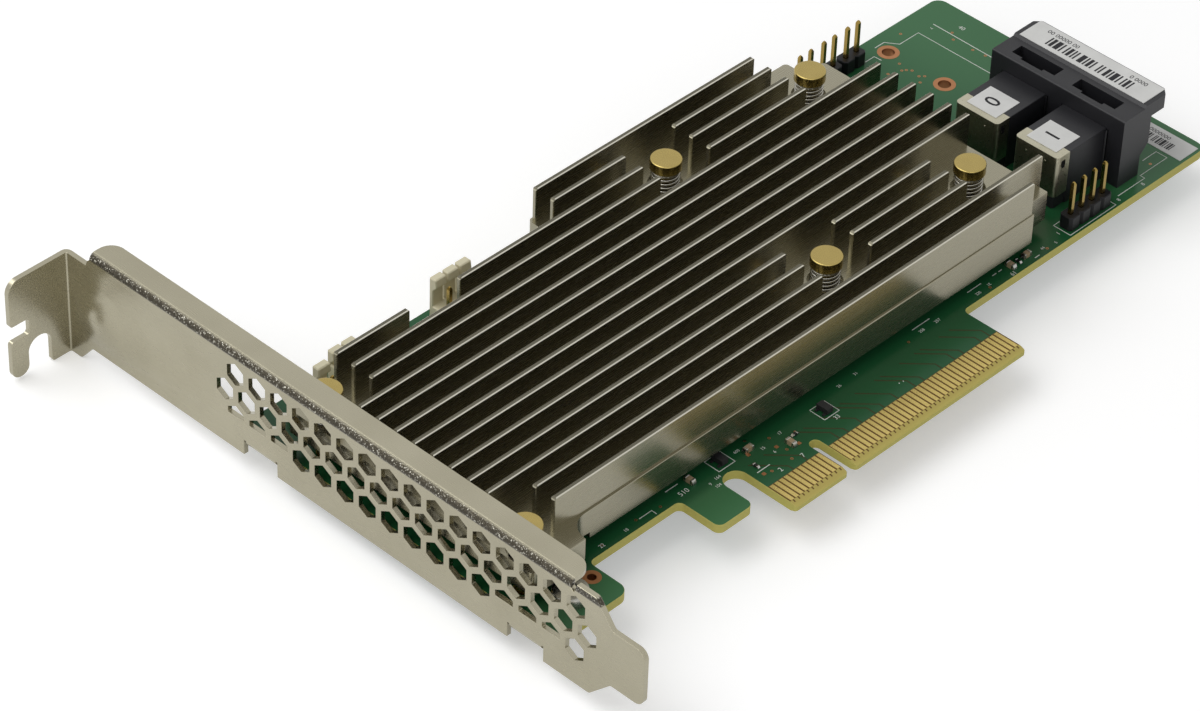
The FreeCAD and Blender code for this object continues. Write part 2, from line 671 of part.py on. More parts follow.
# ---------------------------------------------------------------- heat sink
def sink_outline():
    """Plan of the base: ear at the bracket end, wing towards the top edge, relieved corners."""
    ear_end = sink_left + EAR_LENGTH
    notch_x = sink_left + SIDE_NOTCH_START
    notch_end = notch_x + SIDE_NOTCH_LENGTH
    relief_x = sink_right - RELIEF_LENGTH
    corner_x = sink_right - BACK_CORNER_LENGTH
    corner_y = wing_back - BACK_CORNER_DEPTH
    return [
        (sink_left, sink_front - EAR_DEPTH, SINK_CORNER_R),
        (ear_end, sink_front - EAR_DEPTH),
        (ear_end, sink_front, EAR_DEPTH * STEP_FILLET),
        (relief_x, sink_front),
        (relief_x, sink_front + RELIEF_DEPTH, RELIEF_DEPTH * STEP_FILLET),
        (sink_right, sink_front + RELIEF_DEPTH),
        (sink_right, corner_y, SINK_CORNER_R),
        (corner_x, corner_y, SINK_INNER_R),
        (corner_x, wing_back, SINK_CORNER_R),
        (wing_left, wing_back, SINK_CORNER_R),
        (wing_left, body_back, SINK_INNER_R),
        (notch_end, body_back, SINK_CORNER_R),
        (notch_end, body_back - SIDE_NOTCH_DEPTH, SINK_INNER_R),
        (notch_x, body_back - SIDE_NOTCH_DEPTH, SINK_INNER_R),
        (notch_x, body_back, SINK_CORNER_R),
        (sink_left, body_back, SINK_CORNER_R),
    ]


def fin_spans(row, y):
    """Lengths of one fin: cut short where a screw, a relieved corner or the side notch needs room."""
    start = wing_left + WING_FIN_INSET if row > last_row - 2 else fin_left
    gaps = []
    for x, screw_y in sink_screws:
        if abs(y - screw_y) < 1.5 * FIN_PITCH:
            gaps.append((x - FIN_CLEARANCE, x + FIN_CLEARANCE))
            if x == end_screw_x:
                gaps.append((sink_left - 1, x))
            if x == far_screw_x:
                gaps.append((x, sink_right + 1))
    if row == last_row:
        gaps = [(far_screw_x - FIN_CLEARANCE, sink_right + 1)]
    if row == 0:
        gaps.append((sink_right - RELIEF_LENGTH - FIN_TO_CORNER, sink_right + 1))
    if row == last_row - 2:
        notch_x = sink_left + SIDE_NOTCH_START
        gaps.append((notch_x - FIN_TO_CORNER, notch_x + SIDE_NOTCH_LENGTH + FIN_TO_CORNER))
    spans = [(start, sink_right)]
    for low, high in gaps:
        cut = []
        for a, b in spans:
            if low > a:
                cut.append((a, min(b, low)))
            if high < b:
                cut.append((max(a, high), b))
        spans = [(a, b) for a, b in cut if b - a > 2 * FIN_THICK]
    return spans


def make_fin(x0, x1, y):
    """One fin standing on the base, its two upper corners eased."""
    foot_z = SINK_BASE_TOP_Z - SPRING_SEAT_DEPTH
    profile = [(x0, foot_z), (x1, foot_z), (x1, SINK_TOP_Z - FIN_CORNER), (x1 - FIN_CORNER, SINK_TOP_Z),
               (x0 + FIN_CORNER, SINK_TOP_Z), (x0, SINK_TOP_Z - FIN_CORNER)]
    return crosswise(profile, y - FIN_THICK / 2, y + FIN_THICK / 2)


def memory_places():
    """Memory chips in a row, centred between the bracket end and the processor's screws."""
    middle = (end_screw_x + near_screw_x) / 2 + 2.0
    first = middle - (MEMORY_COUNT - 1) * MEMORY_PITCH / 2
    return [(first + n * MEMORY_PITCH, memory_y) for n in range(MEMORY_COUNT)]


def make_heat_sink():
    points = sink_outline()
    sink = slab(points, SINK_RIM_Z, SINK_BASE_TOP_Z)
    inner = Part.Face(outline(points)).makeOffset2D(-SINK_RIM_WALL)
    inner.translate(V(0, 0, SINK_RIM_Z - 1))
    pocket = inner.extrude(V(0, 0, plate_bottom_z - SINK_RIM_Z + 1))

    # Lands that reach down to the chips, and bosses round the screws
    lands = [centred(processor_x, processor_y, PROCESSOR_HEIGHT + PROCESSOR_PAD, plate_bottom_z,
                     PROCESSOR_LID + 2 * LAND_MARGIN, PROCESSOR_LID + 2 * LAND_MARGIN)]
    for x, y in memory_places():
        lands.append(centred(x, y, MEMORY_HEIGHT + MEMORY_PAD, plate_bottom_z,
                             MEMORY_WIDTH + LAND_MARGIN, MEMORY_LENGTH + LAND_MARGIN))
    lands += [prism(x, y, SINK_RIM_Z, plate_bottom_z, SCREW_HOLE_D + 2 * BOSS_WALL, 6)
              for x, y in sink_screws]
    for land in lands:
        pocket = pocket.cut(land)
    sink = sink.cut(pocket)
    step = block(sink_left - 1, sink_left + EAR_LENGTH + EAR_DEPTH + 1, sink_front - EAR_DEPTH - 1,
                 wing_back + 1, SINK_RIM_Z - 1, SINK_RIM_Z + SINK_STEP_Z)
    sink = sink.cut(step)

    fins = []
    for row, y in enumerate(row_y):
        fins += [make_fin(a, b, y) for a, b in fin_spans(row, y)]
    sink = sink.fuse(fins)

    holes = []
    for x, y in sink_screws:
        holes.append(prism(x, y, SINK_RIM_Z - 1, SINK_TOP_Z, SCREW_HOLE_D, 12))
        holes.append(rod(x, y, spring_seat_z, SINK_TOP_Z, SPRING_SEAT_D))
    return sink.cut(holes).removeSplitter()


def make_sink_screws():
    """Turned screws: flat head over the spring, shank through base and board."""
    screws = []
    head_low = SCREW_HEAD_TOP_Z - SCREW_HEAD_H
    for x, y in sink_screws:
        head = rod(x, y, head_low, SCREW_HEAD_TOP_Z, SCREW_HEAD_D)
        shank = prism(x, y, -BOARD_THICK - NUT_HEIGHT - SCREW_THROUGH / 2, head_low, SCREW_SHANK_D, 12)
        screws.append(head.fuse(shank))
    return Part.makeCompound(screws)


def make_springs():
    """Compression springs between each screw head and its seat: a ruled loft along the helix."""
    low = spring_seat_z + SPRING_WIRE_D / 2 + SPRING_PLAY
    high = SCREW_HEAD_TOP_Z - SCREW_HEAD_H - SPRING_WIRE_D / 2 - SPRING_PLAY
    radius = SPRING_COIL_D / 2
    steps = int(SPRING_TURNS * SPRING_SECTIONS)
    springs = []
    for x, y in sink_screws:
        sections = []
        for n in range(steps + 1):
            turn = 2 * math.pi * SPRING_TURNS * n / steps
            z = low + (high - low) * n / steps
            points = []
            for out, up in ((1, 0), (0, 1), (-1, 0), (0, -1), (1, 0)):
                r = radius + out * SPRING_WIRE_D / 2
                points.append(V(x + r * math.cos(turn), y + r * math.sin(turn),
                                z + up * SPRING_WIRE_D / 2))
            sections.append(Part.makePolygon(points))
        springs.append(Part.makeLoft(sections, True, True))
    return Part.makeCompound(springs)


def make_nuts():
    """Hexagonal clinch nuts under the board."""
    nuts = []
    for x, y in sink_screws:
        nut = prism(x, y, -BOARD_THICK - NUT_HEIGHT, -BOARD_THICK, NUT_FLATS, 6)
        nuts.append(nut.cut(prism(x, y, -BOARD_THICK - NUT_HEIGHT - 1, 0, SCREW_SHANK_D, 12)))
    return Part.makeCompound(nuts)


# ---------------------------------------------------------------- chips and passive parts
def make_processor():
    base = centred(processor_x, processor_y, 0, PROCESSOR_BASE, PROCESSOR_SIZE, PROCESSOR_SIZE)
    lid = slab(clipped(processor_x, processor_y, PROCESSOR_LID, PROCESSOR_LID, 1.0),
               PROCESSOR_BASE, PROCESSOR_HEIGHT)
    return base.fuse(lid).removeSplitter()


def make_processor_pad():
    return centred(processor_x, processor_y, PROCESSOR_HEIGHT, PROCESSOR_HEIGHT + PROCESSOR_PAD,
                   PROCESSOR_LID - 1, PROCESSOR_LID - 1)


def make_memory_chips():
    return Part.makeCompound([centred(x, y, 0, MEMORY_HEIGHT, MEMORY_WIDTH, MEMORY_LENGTH)
                              for x, y in memory_places()])


def make_memory_pads():
    return Part.makeCompound([centred(x, y, MEMORY_HEIGHT, MEMORY_HEIGHT + MEMORY_PAD,
                                      MEMORY_WIDTH, MEMORY_LENGTH) for x, y in memory_places()])


def make_inductors():
    """Moulded power inductors below the base plate, clear of the memory."""
    parts = []
    for n in range(INDUCTOR_COUNT):
        corners = clipped(sink_left + INDUCTOR_FROM_END + n * INDUCTOR_PITCH,
                          SHOULDER_Y + INDUCTOR_FROM_SHOULDER, INDUCTOR_SIZE, INDUCTOR_SIZE,
                          INDUCTOR_CORNER)
        parts.append(slab(corners, 0, INDUCTOR_HEIGHT))
    return Part.makeCompound(parts)


def make_regulators():
    x = sink_left + REGULATOR_FROM_END
    y = body_back - SIDE_NOTCH_DEPTH - REGULATOR_FROM_NOTCH
    return Part.makeCompound([centred(x + n * REGULATOR_PITCH, y, 0, REGULATOR_HEIGHT,
                                      REGULATOR_SIZE, REGULATOR_SIZE) for n in range(2)])


def make_flash():
    """Firmware memory: small outline package with gull-wing leads."""
    x = processor_x - PROCESSOR_SIZE / 2 - FLASH_FROM_PROCESSOR
    y = SHOULDER_Y + FLASH_FROM_SHOULDER
    body = centred(x, y, PACKAGE_LIFT, FLASH_HEIGHT, FLASH_SIZE, FLASH_SIZE)
    reach = (FLASH_SIZE + LEAD_SIZE[0]) / 2 - PACKAGE_LIFT
    leads = []
    for side in (-1, 1):
        for n in range(4):
            leads.append(centred(x + side * reach, y + (n - 1.5) * LEAD_PITCH, 0, LEAD_THICK, *LEAD_SIZE))
    return body.fuse(leads)


def make_transistors():
    """Small packages with three feet on the open strip in front of the heat sink."""
    parts = []
    reach = (TRANSISTOR_SIZE[0] + FOOT_SIZE[0]) / 2 - PACKAGE_LIFT
    side = TRANSISTOR_SIZE[1] / 3
    for x, y in ((-13.0, SHOULDER_Y + STRIP_TO_PARTS), (6.6, SHOULDER_Y - 1.0)):
        body = centred(x, y, PACKAGE_LIFT, TRANSISTOR_HEIGHT, *TRANSISTOR_SIZE)
        feet = [centred(x + dx, y + dy, 0, LEAD_THICK, *FOOT_SIZE)
                for dx, dy in ((-reach, -side), (-reach, side), (reach, 0))]
        parts.append(body.fuse(feet))
    return Part.makeCompound(parts)


def chip_part(x, y, along, size, height):
    """One two-terminal part: along is 0 when it lies along X and 90 when it lies along Y."""
    length, width = size
    if along == 90:
        length, width = width, length
    return centred(x, y, 0, height, length, width)


def beside_processor(rows, offset):
    """Places in a row along each side of the processor."""
    places = []
    reach = PROCESSOR_SIZE / 2 + offset
    for n in range(rows):
        shift = (n - (rows - 1) / 2) * 4.4
        places += [(processor_x + shift, processor_y - reach, 90),
                   (processor_x + shift, processor_y + reach, 90),
                   (processor_x - reach, processor_y + shift, 0)]
    return places


def make_capacitors():
    """Ceramic capacitors: some on the open strip, the rest round the processor."""
    strip_y = SHOULDER_Y + STRIP_TO_PARTS
    places = [(-19.4, strip_y, 90), (-8.2, SHOULDER_Y + 0.7, 0), (-2.65, SHOULDER_Y - 2.7, 90),
              (sink_right - 10.9, strip_y, 90), (sink_right - 7.2, strip_y, 0)]
    places += beside_processor(4, 1.6)
    return Part.makeCompound([chip_part(x, y, turn, CAPACITOR_SIZE, CAPACITOR_HEIGHT)
                              for x, y, turn in places])


def make_resistors():
    """Thick-film resistors: some on the open strip, the rest a little further out."""
    places = [(-10.0, SHOULDER_Y - 2.5, 90), (-0.7, SHOULDER_Y - 1.7, 0),
              (sink_right - 9.1, SHOULDER_Y + STRIP_TO_PARTS, 90)]
    places += beside_processor(3, 3.4)
    return Part.makeCompound([chip_part(x, y, turn, RESISTOR_SIZE, RESISTOR_HEIGHT)
                              for x, y, turn in places])


# ---------------------------------------------------------------- drive ports
def make_port_frame():
    """Moulded surround of both ports: latch windows, a brow over the mouths and a hood above it."""
    y0, y1 = frame_y, frame_y + FRAME_WIDTH
    wall_end = frame_x + FRAME_DEPTH
    brow_end = wall_end + BROW_REACH
    hood_end = wall_end + HOOD_REACH
    low = FRAME_HEIGHT - HOOD_STEP
    hood_low = FRAME_HEIGHT - HOOD_THICK
    profile = [(frame_x, 0, 0), (wall_end, 0, 0), (wall_end, BROW_BOTTOM_Z - BROW_REACH, 0.2),
               (brow_end, BROW_BOTTOM_Z, 0.3), (brow_end, hood_low, 0.2),
               (hood_end, hood_low, 0.4), (hood_end, FRAME_HEIGHT, 0.3),
               (wall_end + HOOD_STEP, FRAME_HEIGHT, 0.2), (wall_end, low, 0.1), (frame_x, low, 0.3)]
    frame = crosswise(profile, y0, y1)
    cuts = []
    for end_y, way in ((y0, 1), (y1, -1)):
        corner = [V(hood_end + 0.1, end_y - way * 0.1, -1), V(hood_end - HOOD_CORNER, end_y - way * 0.1, -1),
                  V(hood_end + 0.1, end_y + way * HOOD_CORNER, -1)]
        cuts.append(Part.Face(Part.makePolygon(corner + corner[:1])).extrude(V(0, 0, FRAME_HEIGHT + 2)))
    middle = frame_x + LATCH_FROM_BACK
    for y in port_y:
        cuts.append(block(frame_x - 1, brow_end + 1, y - BAY_WIDTH / 2, y + BAY_WIDTH / 2,
                          BAY_FLOOR_Z, BAY_TOP_Z))
        cuts.append(centred(middle, y, BAY_TOP_Z - 1, FRAME_HEIGHT + 1, LATCH_WIDTH, LATCH_LENGTH))
        cuts.append(centred(middle - LATCH_WIDTH / 2, y, low - 2 * HOOD_STEP, FRAME_HEIGHT + 1,
                            2 * LATCH_STEP, LATCH_LENGTH / 2))
    return frame.cut(cuts).removeSplitter()


def make_port_housing(y):
    """Contact block of one port: two slots open to the bay, near end stepped for the cage."""
    cage_end = cage_x + CAGE_DEPTH
    body = block(cage_end, frame_x, y - PORT_WIDTH / 2, y + PORT_WIDTH / 2, 0, PORT_HEIGHT)
    nose_half = BAY_WIDTH / 2 - NOSE_CLEARANCE
    nose = block(frame_x, frame_x + NOSE_REACH, y - nose_half, y + nose_half,
                 BAY_FLOOR_Z, BAY_TOP_Z - NOSE_CLEARANCE)
    stub_half = PORT_WIDTH / 2 - CAGE_SHEET
    stub = slab([(cage_x + CAGE_SHEET, y - stub_half, CAGE_FOLD_R), (cage_end, y - stub_half, 0),
                 (cage_end, y + stub_half, 0), (cage_x + CAGE_SHEET, y + stub_half, CAGE_FOLD_R)],
                0, PORT_HEIGHT - CAGE_SHEET)
    slot_half = PORT_WIDTH / 2 - PORT_SLOT_SIDE
    slots = [block(frame_x - PORT_SLOT_DEPTH, frame_x + NOSE_REACH + 0.1, y - slot_half, y + slot_half,
                   z - PORT_SLOT_HEIGHT / 2, z + PORT_SLOT_HEIGHT / 2) for z in port_slot_levels()]
    return body.fuse([nose, stub]).cut(slots).removeSplitter()


def port_slot_levels():
    middle = (BAY_FLOOR_Z + BAY_TOP_Z) / 2
    return [middle - PORT_SLOT_RISE, middle + PORT_SLOT_RISE]


def make_port_cage(y):
    """Folded metal cap over the near end of one port."""
    cage_end = cage_x + CAGE_DEPTH
    half = PORT_WIDTH / 2
    fold = CAGE_FOLD_R + CAGE_SHEET
    shell = slab([(cage_x, y - half, fold), (cage_end, y - half, 0), (cage_end, y + half, 0),
                  (cage_x, y + half, fold)], CAGE_BOTTOM_Z, PORT_HEIGHT)
    inner = half - CAGE_SHEET
    room = slab([(cage_x + CAGE_SHEET, y - inner, CAGE_FOLD_R), (cage_end + 1, y - inner, 0),
                 (cage_end + 1, y + inner, 0), (cage_x + CAGE_SHEET, y + inner, CAGE_FOLD_R)],
                CAGE_BOTTOM_Z - 1, PORT_HEIGHT - CAGE_SHEET)
    hole_top = PORT_HEIGHT - CAGE_HOLE_BELOW_TOP
    latch_hole = centred(cage_x + CAGE_DEPTH / 2, y, hole_top - CAGE_HOLE_SIZE[1], hole_top,
                         CAGE_HOLE_SIZE[0], PORT_WIDTH + 2)
    return shell.cut([room, latch_hole])


def make_port_contacts(y):
    """Spring contacts along the floor of both slots."""
    parts = []
    width, thick = PORT_CONTACT_SIZE
    x0 = frame_x - PORT_SLOT_DEPTH + PORT_CONTACT_INSET
    x1 = frame_x + NOSE_REACH - PORT_CONTACT_INSET
    for z in port_slot_levels():
        floor = z - PORT_SLOT_HEIGHT / 2
        for n in range(PORT_CONTACTS):
            cy = y + (n - (PORT_CONTACTS - 1) / 2) * PORT_CONTACT_PITCH
            parts.append(block(x0, x1, cy - width / 2, cy + width / 2, floor, floor + thick))
    return Part.makeCompound(parts)


# ---------------------------------------------------------------- pin headers
def header_base(pins):
    """Moulded strip with a waist between pins."""
    cells = []
    for x, y in pins:
        cell = slab(clipped(x, y, PIN_PITCH, PIN_PITCH, HEADER_CORNER), 0, HEADER_HEIGHT)
        cells.append(cell.cut(centred(x, y, -1, HEADER_HEIGHT + 1, PIN_SIZE, PIN_SIZE)))
    return cells[0].fuse(cells[1:]).removeSplitter()


def square_wire(x, y, z, size):
    half = size / 2
    return Part.makePolygon([V(x - half, y - half, z), V(x + half, y - half, z), V(x + half, y + half, z),
                             V(x - half, y + half, z), V(x - half, y - half, z)])


def header_pin(x, y, top=PIN_TOP_Z, tail=PIN_TAIL):
    """Square post with pointed ends."""
    low = -BOARD_THICK - tail
    shaft = centred(x, y, low + PIN_POINT, top - PIN_POINT, PIN_SIZE, PIN_SIZE)
    points = []
    for z0, z1 in ((top - PIN_POINT, top), (low + PIN_POINT, low)):
        ends = [square_wire(x, y, z0, PIN_SIZE), square_wire(x, y, z1, PIN_SIZE / 2)]
        points.append(Part.makeLoft(ends, True, True))
    return shaft.fuse(points)


def lock_header_base(x0, back_y, count, height, lugs):
    """Low base with a back wall, whose lugs lean forward over the pins to hold a plug."""
    length = count * LOCK_PITCH
    front = back_y - LOCK_DEPTH
    body = block(x0, x0 + length, front, back_y, 0, LOCK_BASE_Z)
    width = (length - (lugs - 1) * LOCK_SLIT) / lugs
    inner = back_y - LOCK_WALL
    bump_z = height - LOCK_BUMP_HEIGHT
    profile = [(back_y, LOCK_BASE_Z - 1), (back_y, height), (inner - LOCK_BUMP * 0.7, height),
               (inner - LOCK_BUMP, bump_z), (inner, bump_z - LOCK_BUMP_SLOPE), (inner, LOCK_BASE_Z - 1)]
    walls = []
    for n in range(lugs):
        low = x0 + n * (width + LOCK_SLIT)
        walls.append(upright(profile, low, low + width))
    body = body.fuse(walls)
    pins = [centred(x, y, -1, LOCK_BASE_Z + 1, PIN_SIZE, PIN_SIZE)
            for x, y in lock_pins(x0, back_y, count)]
    return body.cut(pins).removeSplitter()


def lock_header_pins(header, height, tail=PIN_TAIL):
    return Part.makeCompound([header_pin(x, y, height - LOCK_PIN_BELOW_TOP, tail)
                              for x, y in lock_pins(*header)])


# ---------------------------------------------------------------- paper labels
def make_frame_label():
    depth, width = FRAME_LABEL_SIZE
    x = frame_x + FRAME_DEPTH + HOOD_STEP + 0.1 + depth / 2
    return centred(x, frame_y + FRAME_WIDTH / 2, FRAME_HEIGHT, FRAME_HEIGHT + LABEL_THICK, depth, width)


def make_port_labels():
    depth, width = PORT_LABEL_SIZE
    x = cage_x + PORT_LABEL_FROM_CAGE + depth / 2
    return Part.makeCompound([centred(x, y, PORT_HEIGHT, PORT_HEIGHT + LABEL_THICK, depth, width)
                              for y in port_y])


def make_board_label():
    depth, width = BOARD_LABEL_SIZE
    return centred(board_right - BOARD_LABEL_FROM_END - depth / 2,
                   SHOULDER_Y + BOARD_LABEL_FROM_SHOULDER + width / 2, 0, LABEL_THICK, depth, width)


# ---------------------------------------------------------------- build
def main():
    os.makedirs("parts", exist_ok=True)
    save("circuit_board", make_board())
    save("edge_contacts_component", make_contacts(0))
    save("edge_contacts_solder", make_contacts(-BOARD_THICK - CONTACT_THICK))
    save("slot_bracket", make_bracket())
    save("bracket_screws", make_bracket_screws())
    save("heat_sink", make_heat_sink())
    save("heat_sink_screws", make_sink_screws())
    save("screw_springs", make_springs())
    save("board_nuts", make_nuts())
    save("raid_processor", make_processor())
    save("processor_thermal_pad", make_processor_pad())
    save("memory_chips", make_memory_chips())
    save("memory_thermal_pads", make_memory_pads())
    save("power_inductors", make_inductors())
    save("voltage_regulators", make_regulators())
    save("firmware_flash", make_flash())
    save("signal_transistors", make_transistors())
    save("ceramic_capacitors", make_capacitors())
    save("chip_resistors", make_resistors())
    save("port_frame", make_port_frame())
    for n, y in enumerate(reversed(port_y)):
        save("port_%d_housing" % n, make_port_housing(y))
        save("port_%d_cage" % n, make_port_cage(y))
        save("port_%d_contacts" % n, make_port_contacts(y))
    save("signal_header_base", header_base(signal_pins))
    save("signal_header_pins", Part.makeCompound([header_pin(x, y) for x, y in signal_pins]))
    for n, pair in enumerate(jumper_pins):
        save("jumper_%d_base" % n, header_base(pair))
        save("jumper_%d_pins" % n, Part.makeCompound([header_pin(x, y) for x, y in pair]))
    save("cache_header_base", lock_header_base(*cache_header, CACHE_HEADER_HEIGHT, 3))
    save("cache_header_pins", lock_header_pins(cache_header, CACHE_HEADER_HEIGHT))
    save("sense_header_base", lock_header_base(*sense_header, SENSE_HEADER_HEIGHT, 2))
    save("sense_header_pins", lock_header_pins(sense_header, SENSE_HEADER_HEIGHT))
    save("power_header_base", lock_header_base(*power_header, POWER_HEADER_HEIGHT, 1))
    save("power_header_pins", lock_header_pins(power_header, POWER_HEADER_HEIGHT,
                                               POWER_HEADER_TAIL))
    save("frame_label", make_frame_label())
    save("port_labels", make_port_labels())
    save("board_label", make_board_label())


main()
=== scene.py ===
# %% [markdown]
# # A storage controller card
#
# The card lies flat, component side up. It is a green circuit board with a gold contact edge, a
# folded and vented slot bracket, and an aluminium heat sink held down by six sprung brass screws.
# The CAD model gives every rigid piece its true size, so this script finishes those pieces, models
# the fine things that sit on them, and lights the card as in a product studio.

# %% Load the frame
import json
import math

import bmesh
import bpy
from mathutils import Matrix, Vector


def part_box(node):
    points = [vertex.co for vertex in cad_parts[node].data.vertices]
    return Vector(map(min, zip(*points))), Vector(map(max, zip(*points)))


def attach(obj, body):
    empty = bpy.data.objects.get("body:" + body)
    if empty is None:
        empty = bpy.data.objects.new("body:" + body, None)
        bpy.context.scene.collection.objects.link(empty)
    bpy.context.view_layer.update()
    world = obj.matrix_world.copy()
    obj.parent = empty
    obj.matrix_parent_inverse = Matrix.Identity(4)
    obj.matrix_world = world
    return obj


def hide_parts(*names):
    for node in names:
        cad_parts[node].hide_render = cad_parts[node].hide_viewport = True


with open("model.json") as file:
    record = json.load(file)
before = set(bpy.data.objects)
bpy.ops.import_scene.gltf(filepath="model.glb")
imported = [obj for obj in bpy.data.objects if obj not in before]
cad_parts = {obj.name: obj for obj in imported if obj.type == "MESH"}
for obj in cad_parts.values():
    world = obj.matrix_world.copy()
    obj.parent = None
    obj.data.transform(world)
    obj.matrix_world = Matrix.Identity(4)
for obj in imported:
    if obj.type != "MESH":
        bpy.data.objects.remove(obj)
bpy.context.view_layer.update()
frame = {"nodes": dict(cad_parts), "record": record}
nodes = frame["nodes"]
MM = 0.001
print("nodes loaded:", len(nodes))


# %% [markdown]
# ## Places, read from the frame
#
# Every added piece is put where a CAD node says. `span` gives a node's two corners in millimetres,
# which is the unit that a board designer thinks in.

# %% Places
def span(node):
    """Lowest and highest corner of a CAD node, in millimetres."""
    low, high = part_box(node)
    return [v / MM for v in low], [v / MM for v in high]


board_low, board_high = span("circuit_board")
sink_low, sink_high = span("heat_sink")
bracket_low, bracket_high = span("slot_bracket")
contacts_low, contacts_high = span("edge_contacts_component")
print("board, mm:", [round(v, 2) for v in board_low + board_high])


# %% [markdown]
# ## A small kit for finishes
#
# A finish is a Principled shader with textures on it. The textures read Object coordinates scaled
# to millimetres, so that a grain of 0.2 means 0.2 mm on every piece. The class below only shortens
# the wiring: each method adds one node and returns its output.

# %% Finish kit
NOISE_SPREAD = (0.3, 0.7)


class Finish:
    """One material: a Principled shader and the nodes that feed it."""

    def __init__(self, name, colour, metallic=0.0, roughness=0.5, **sockets):
        self.material = bpy.data.materials.new(name)
        self.material.use_nodes = True
        self.tree = self.material.node_tree
        self.shader = self.tree.nodes["Principled BSDF"]
        self.shader.inputs["Base Color"].default_value = (*colour, 1.0)
        self.shader.inputs["Metallic"].default_value = metallic
        self.shader.inputs["Roughness"].default_value = roughness
        for socket, value in sockets.items():
            self.shader.inputs[socket.replace("_", " ")].default_value = value
        place = self.tree.nodes.new("ShaderNodeTexCoord")
        self.normal = place.outputs["Normal"]
        self.mm = self.add("ShaderNodeVectorMath", "Vector", place.outputs["Object"],
                           (1 / MM, 1 / MM, 1 / MM), operation="MULTIPLY")

    def add(self, kind, output, *inputs, **settings):
        """A new node with its first inputs filled in; returns the named output."""
        node = self.tree.nodes.new(kind)
        for key, value in settings.items():
            setattr(node, key, value)
        for number, value in enumerate(inputs):
            if value is None:
                continue
            if isinstance(value, bpy.types.NodeSocket):
                self.tree.links.new(value, node.inputs[number])
            else:
                node.inputs[number].default_value = value
        return node.outputs[output]

    def sum(self, operation, a, b=None):
        """One step of arithmetic on one or two values."""
        return self.add("ShaderNodeMath", "Value", a, b, operation=operation)

    def axis(self, vector, letter):
        """The X, Y or Z of a vector."""
        return self.add("ShaderNodeSeparateXYZ", letter, vector)

    def rises(self, value, low, high):
        """0 below low, 1 above high, and smooth between."""
        return self.add("ShaderNodeMapRange", "Result", value, low, high, 0.0, 1.0,
                        interpolation_type="SMOOTHSTEP")

    def within(self, value, low, high, soft=0.05):
        """1 between low and high, 0 outside."""
        up = self.rises(value, low - soft, low + soft)
        down = self.rises(value, high + soft, high - soft)
        return self.sum("MULTIPLY", up, down)

    def noise(self, grain, detail=2.0, stretch=(1, 1, 1)):
        """Noise whose features are about grain millimetres wide, longer where stretch is small."""
        scale = tuple(s / grain for s in stretch)
        place = self.add("ShaderNodeVectorMath", "Vector", self.mm, scale, operation="MULTIPLY")
        node = self.tree.nodes.new("ShaderNodeTexNoise")
        self.tree.links.new(place, node.inputs["Vector"])
        node.inputs["Scale"].default_value = 1.0
        node.inputs["Detail"].default_value = detail
        return node.outputs["Fac"]

    def mix(self, factor, first, second):
        """first where factor is 0 and second where it is 1."""
        node = self.tree.nodes.new("ShaderNodeMix")
        node.data_type = "RGBA"
        for socket, value in ((node.inputs["Factor"], factor), (node.inputs[6], first),
                              (node.inputs[7], second)):
            if isinstance(value, bpy.types.NodeSocket):
                self.tree.links.new(value, socket)
            else:
                socket.default_value = (*value, 1.0) if isinstance(value, tuple) else value
        return node.outputs[2]

    def feed(self, socket, value):
        """Wire a value to one of the shader's sockets."""
        self.tree.links.new(value, self.shader.inputs[socket])
        return self

    def bump(self, height, depth):
        """Relief of depth millimetres where height goes from 0 to 1."""
        node = self.tree.nodes.new("ShaderNodeBump")
        node.inputs["Strength"].default_value = 1.0
        node.inputs["Distance"].default_value = depth * MM
        self.tree.links.new(height, node.inputs["Height"])
        return self.feed("Normal", node.outputs["Normal"])

    def shade(self, value, low, high):
        """Roughness that follows value from low to high."""
        spread = self.add("ShaderNodeMapRange", "Result", value, *NOISE_SPREAD, low, high)
        return self.feed("Roughness", spread)


print("finish kit ready, noise is spread over", NOISE_SPREAD)


# %% [markdown]
# ## Circuit board
#
# A board is glass-epoxy, which is tan at its cut edges, under a glossy green solder mask. The mask
# stops short of the contact edge, where the bare laminate shows brown between the gold contacts. A
# picture of the mask could be painted by hand, but a rule is simpler and sharper: faces that look
# up or down are masked, all others are cut laminate, and the distance from the contact edge parts
# the bare end, the strip with the pads, and the mask. Where copper lies under the mask, its green
# is paler.

# %% Circuit board finish
LAMINATE = (0.56, 0.52, 0.15)
LAMINATE_DARK = (0.44, 0.39, 0.10)
TONGUE_END = (0.43, 0.35, 0.10)
BETWEEN_PADS = (0.115, 0.062, 0.016)
MASK_GREEN = (0.010, 0.074, 0.024)
MASK_LIGHTER = (0.014, 0.092, 0.033)
MASK_ON_COPPER = (0.040, 0.140, 0.055)
MASK_START_Y = contacts_high[1] + 0.12
PAD_FOOT_Y = contacts_low[1]
STUB_START_Y = PAD_FOOT_Y - 0.55
TONGUE_START_X = contacts_low[0] - 1.6
HOOK_END_X = contacts_low[0] - 2.5
FACES_UP = (0.9, 0.97)
MASK_ROUGHNESS, CUT_ROUGHNESS = 0.26, 0.6
COPPER_AREA_X = (66, 90)
HOOK_COPPER_Y = (12.5, 10.5)
STUB_EDGE = (0.16, 0.1)
CLOUDS, RIPPLE, RIPPLE_DEPTH = 16, 0.9, 0.006


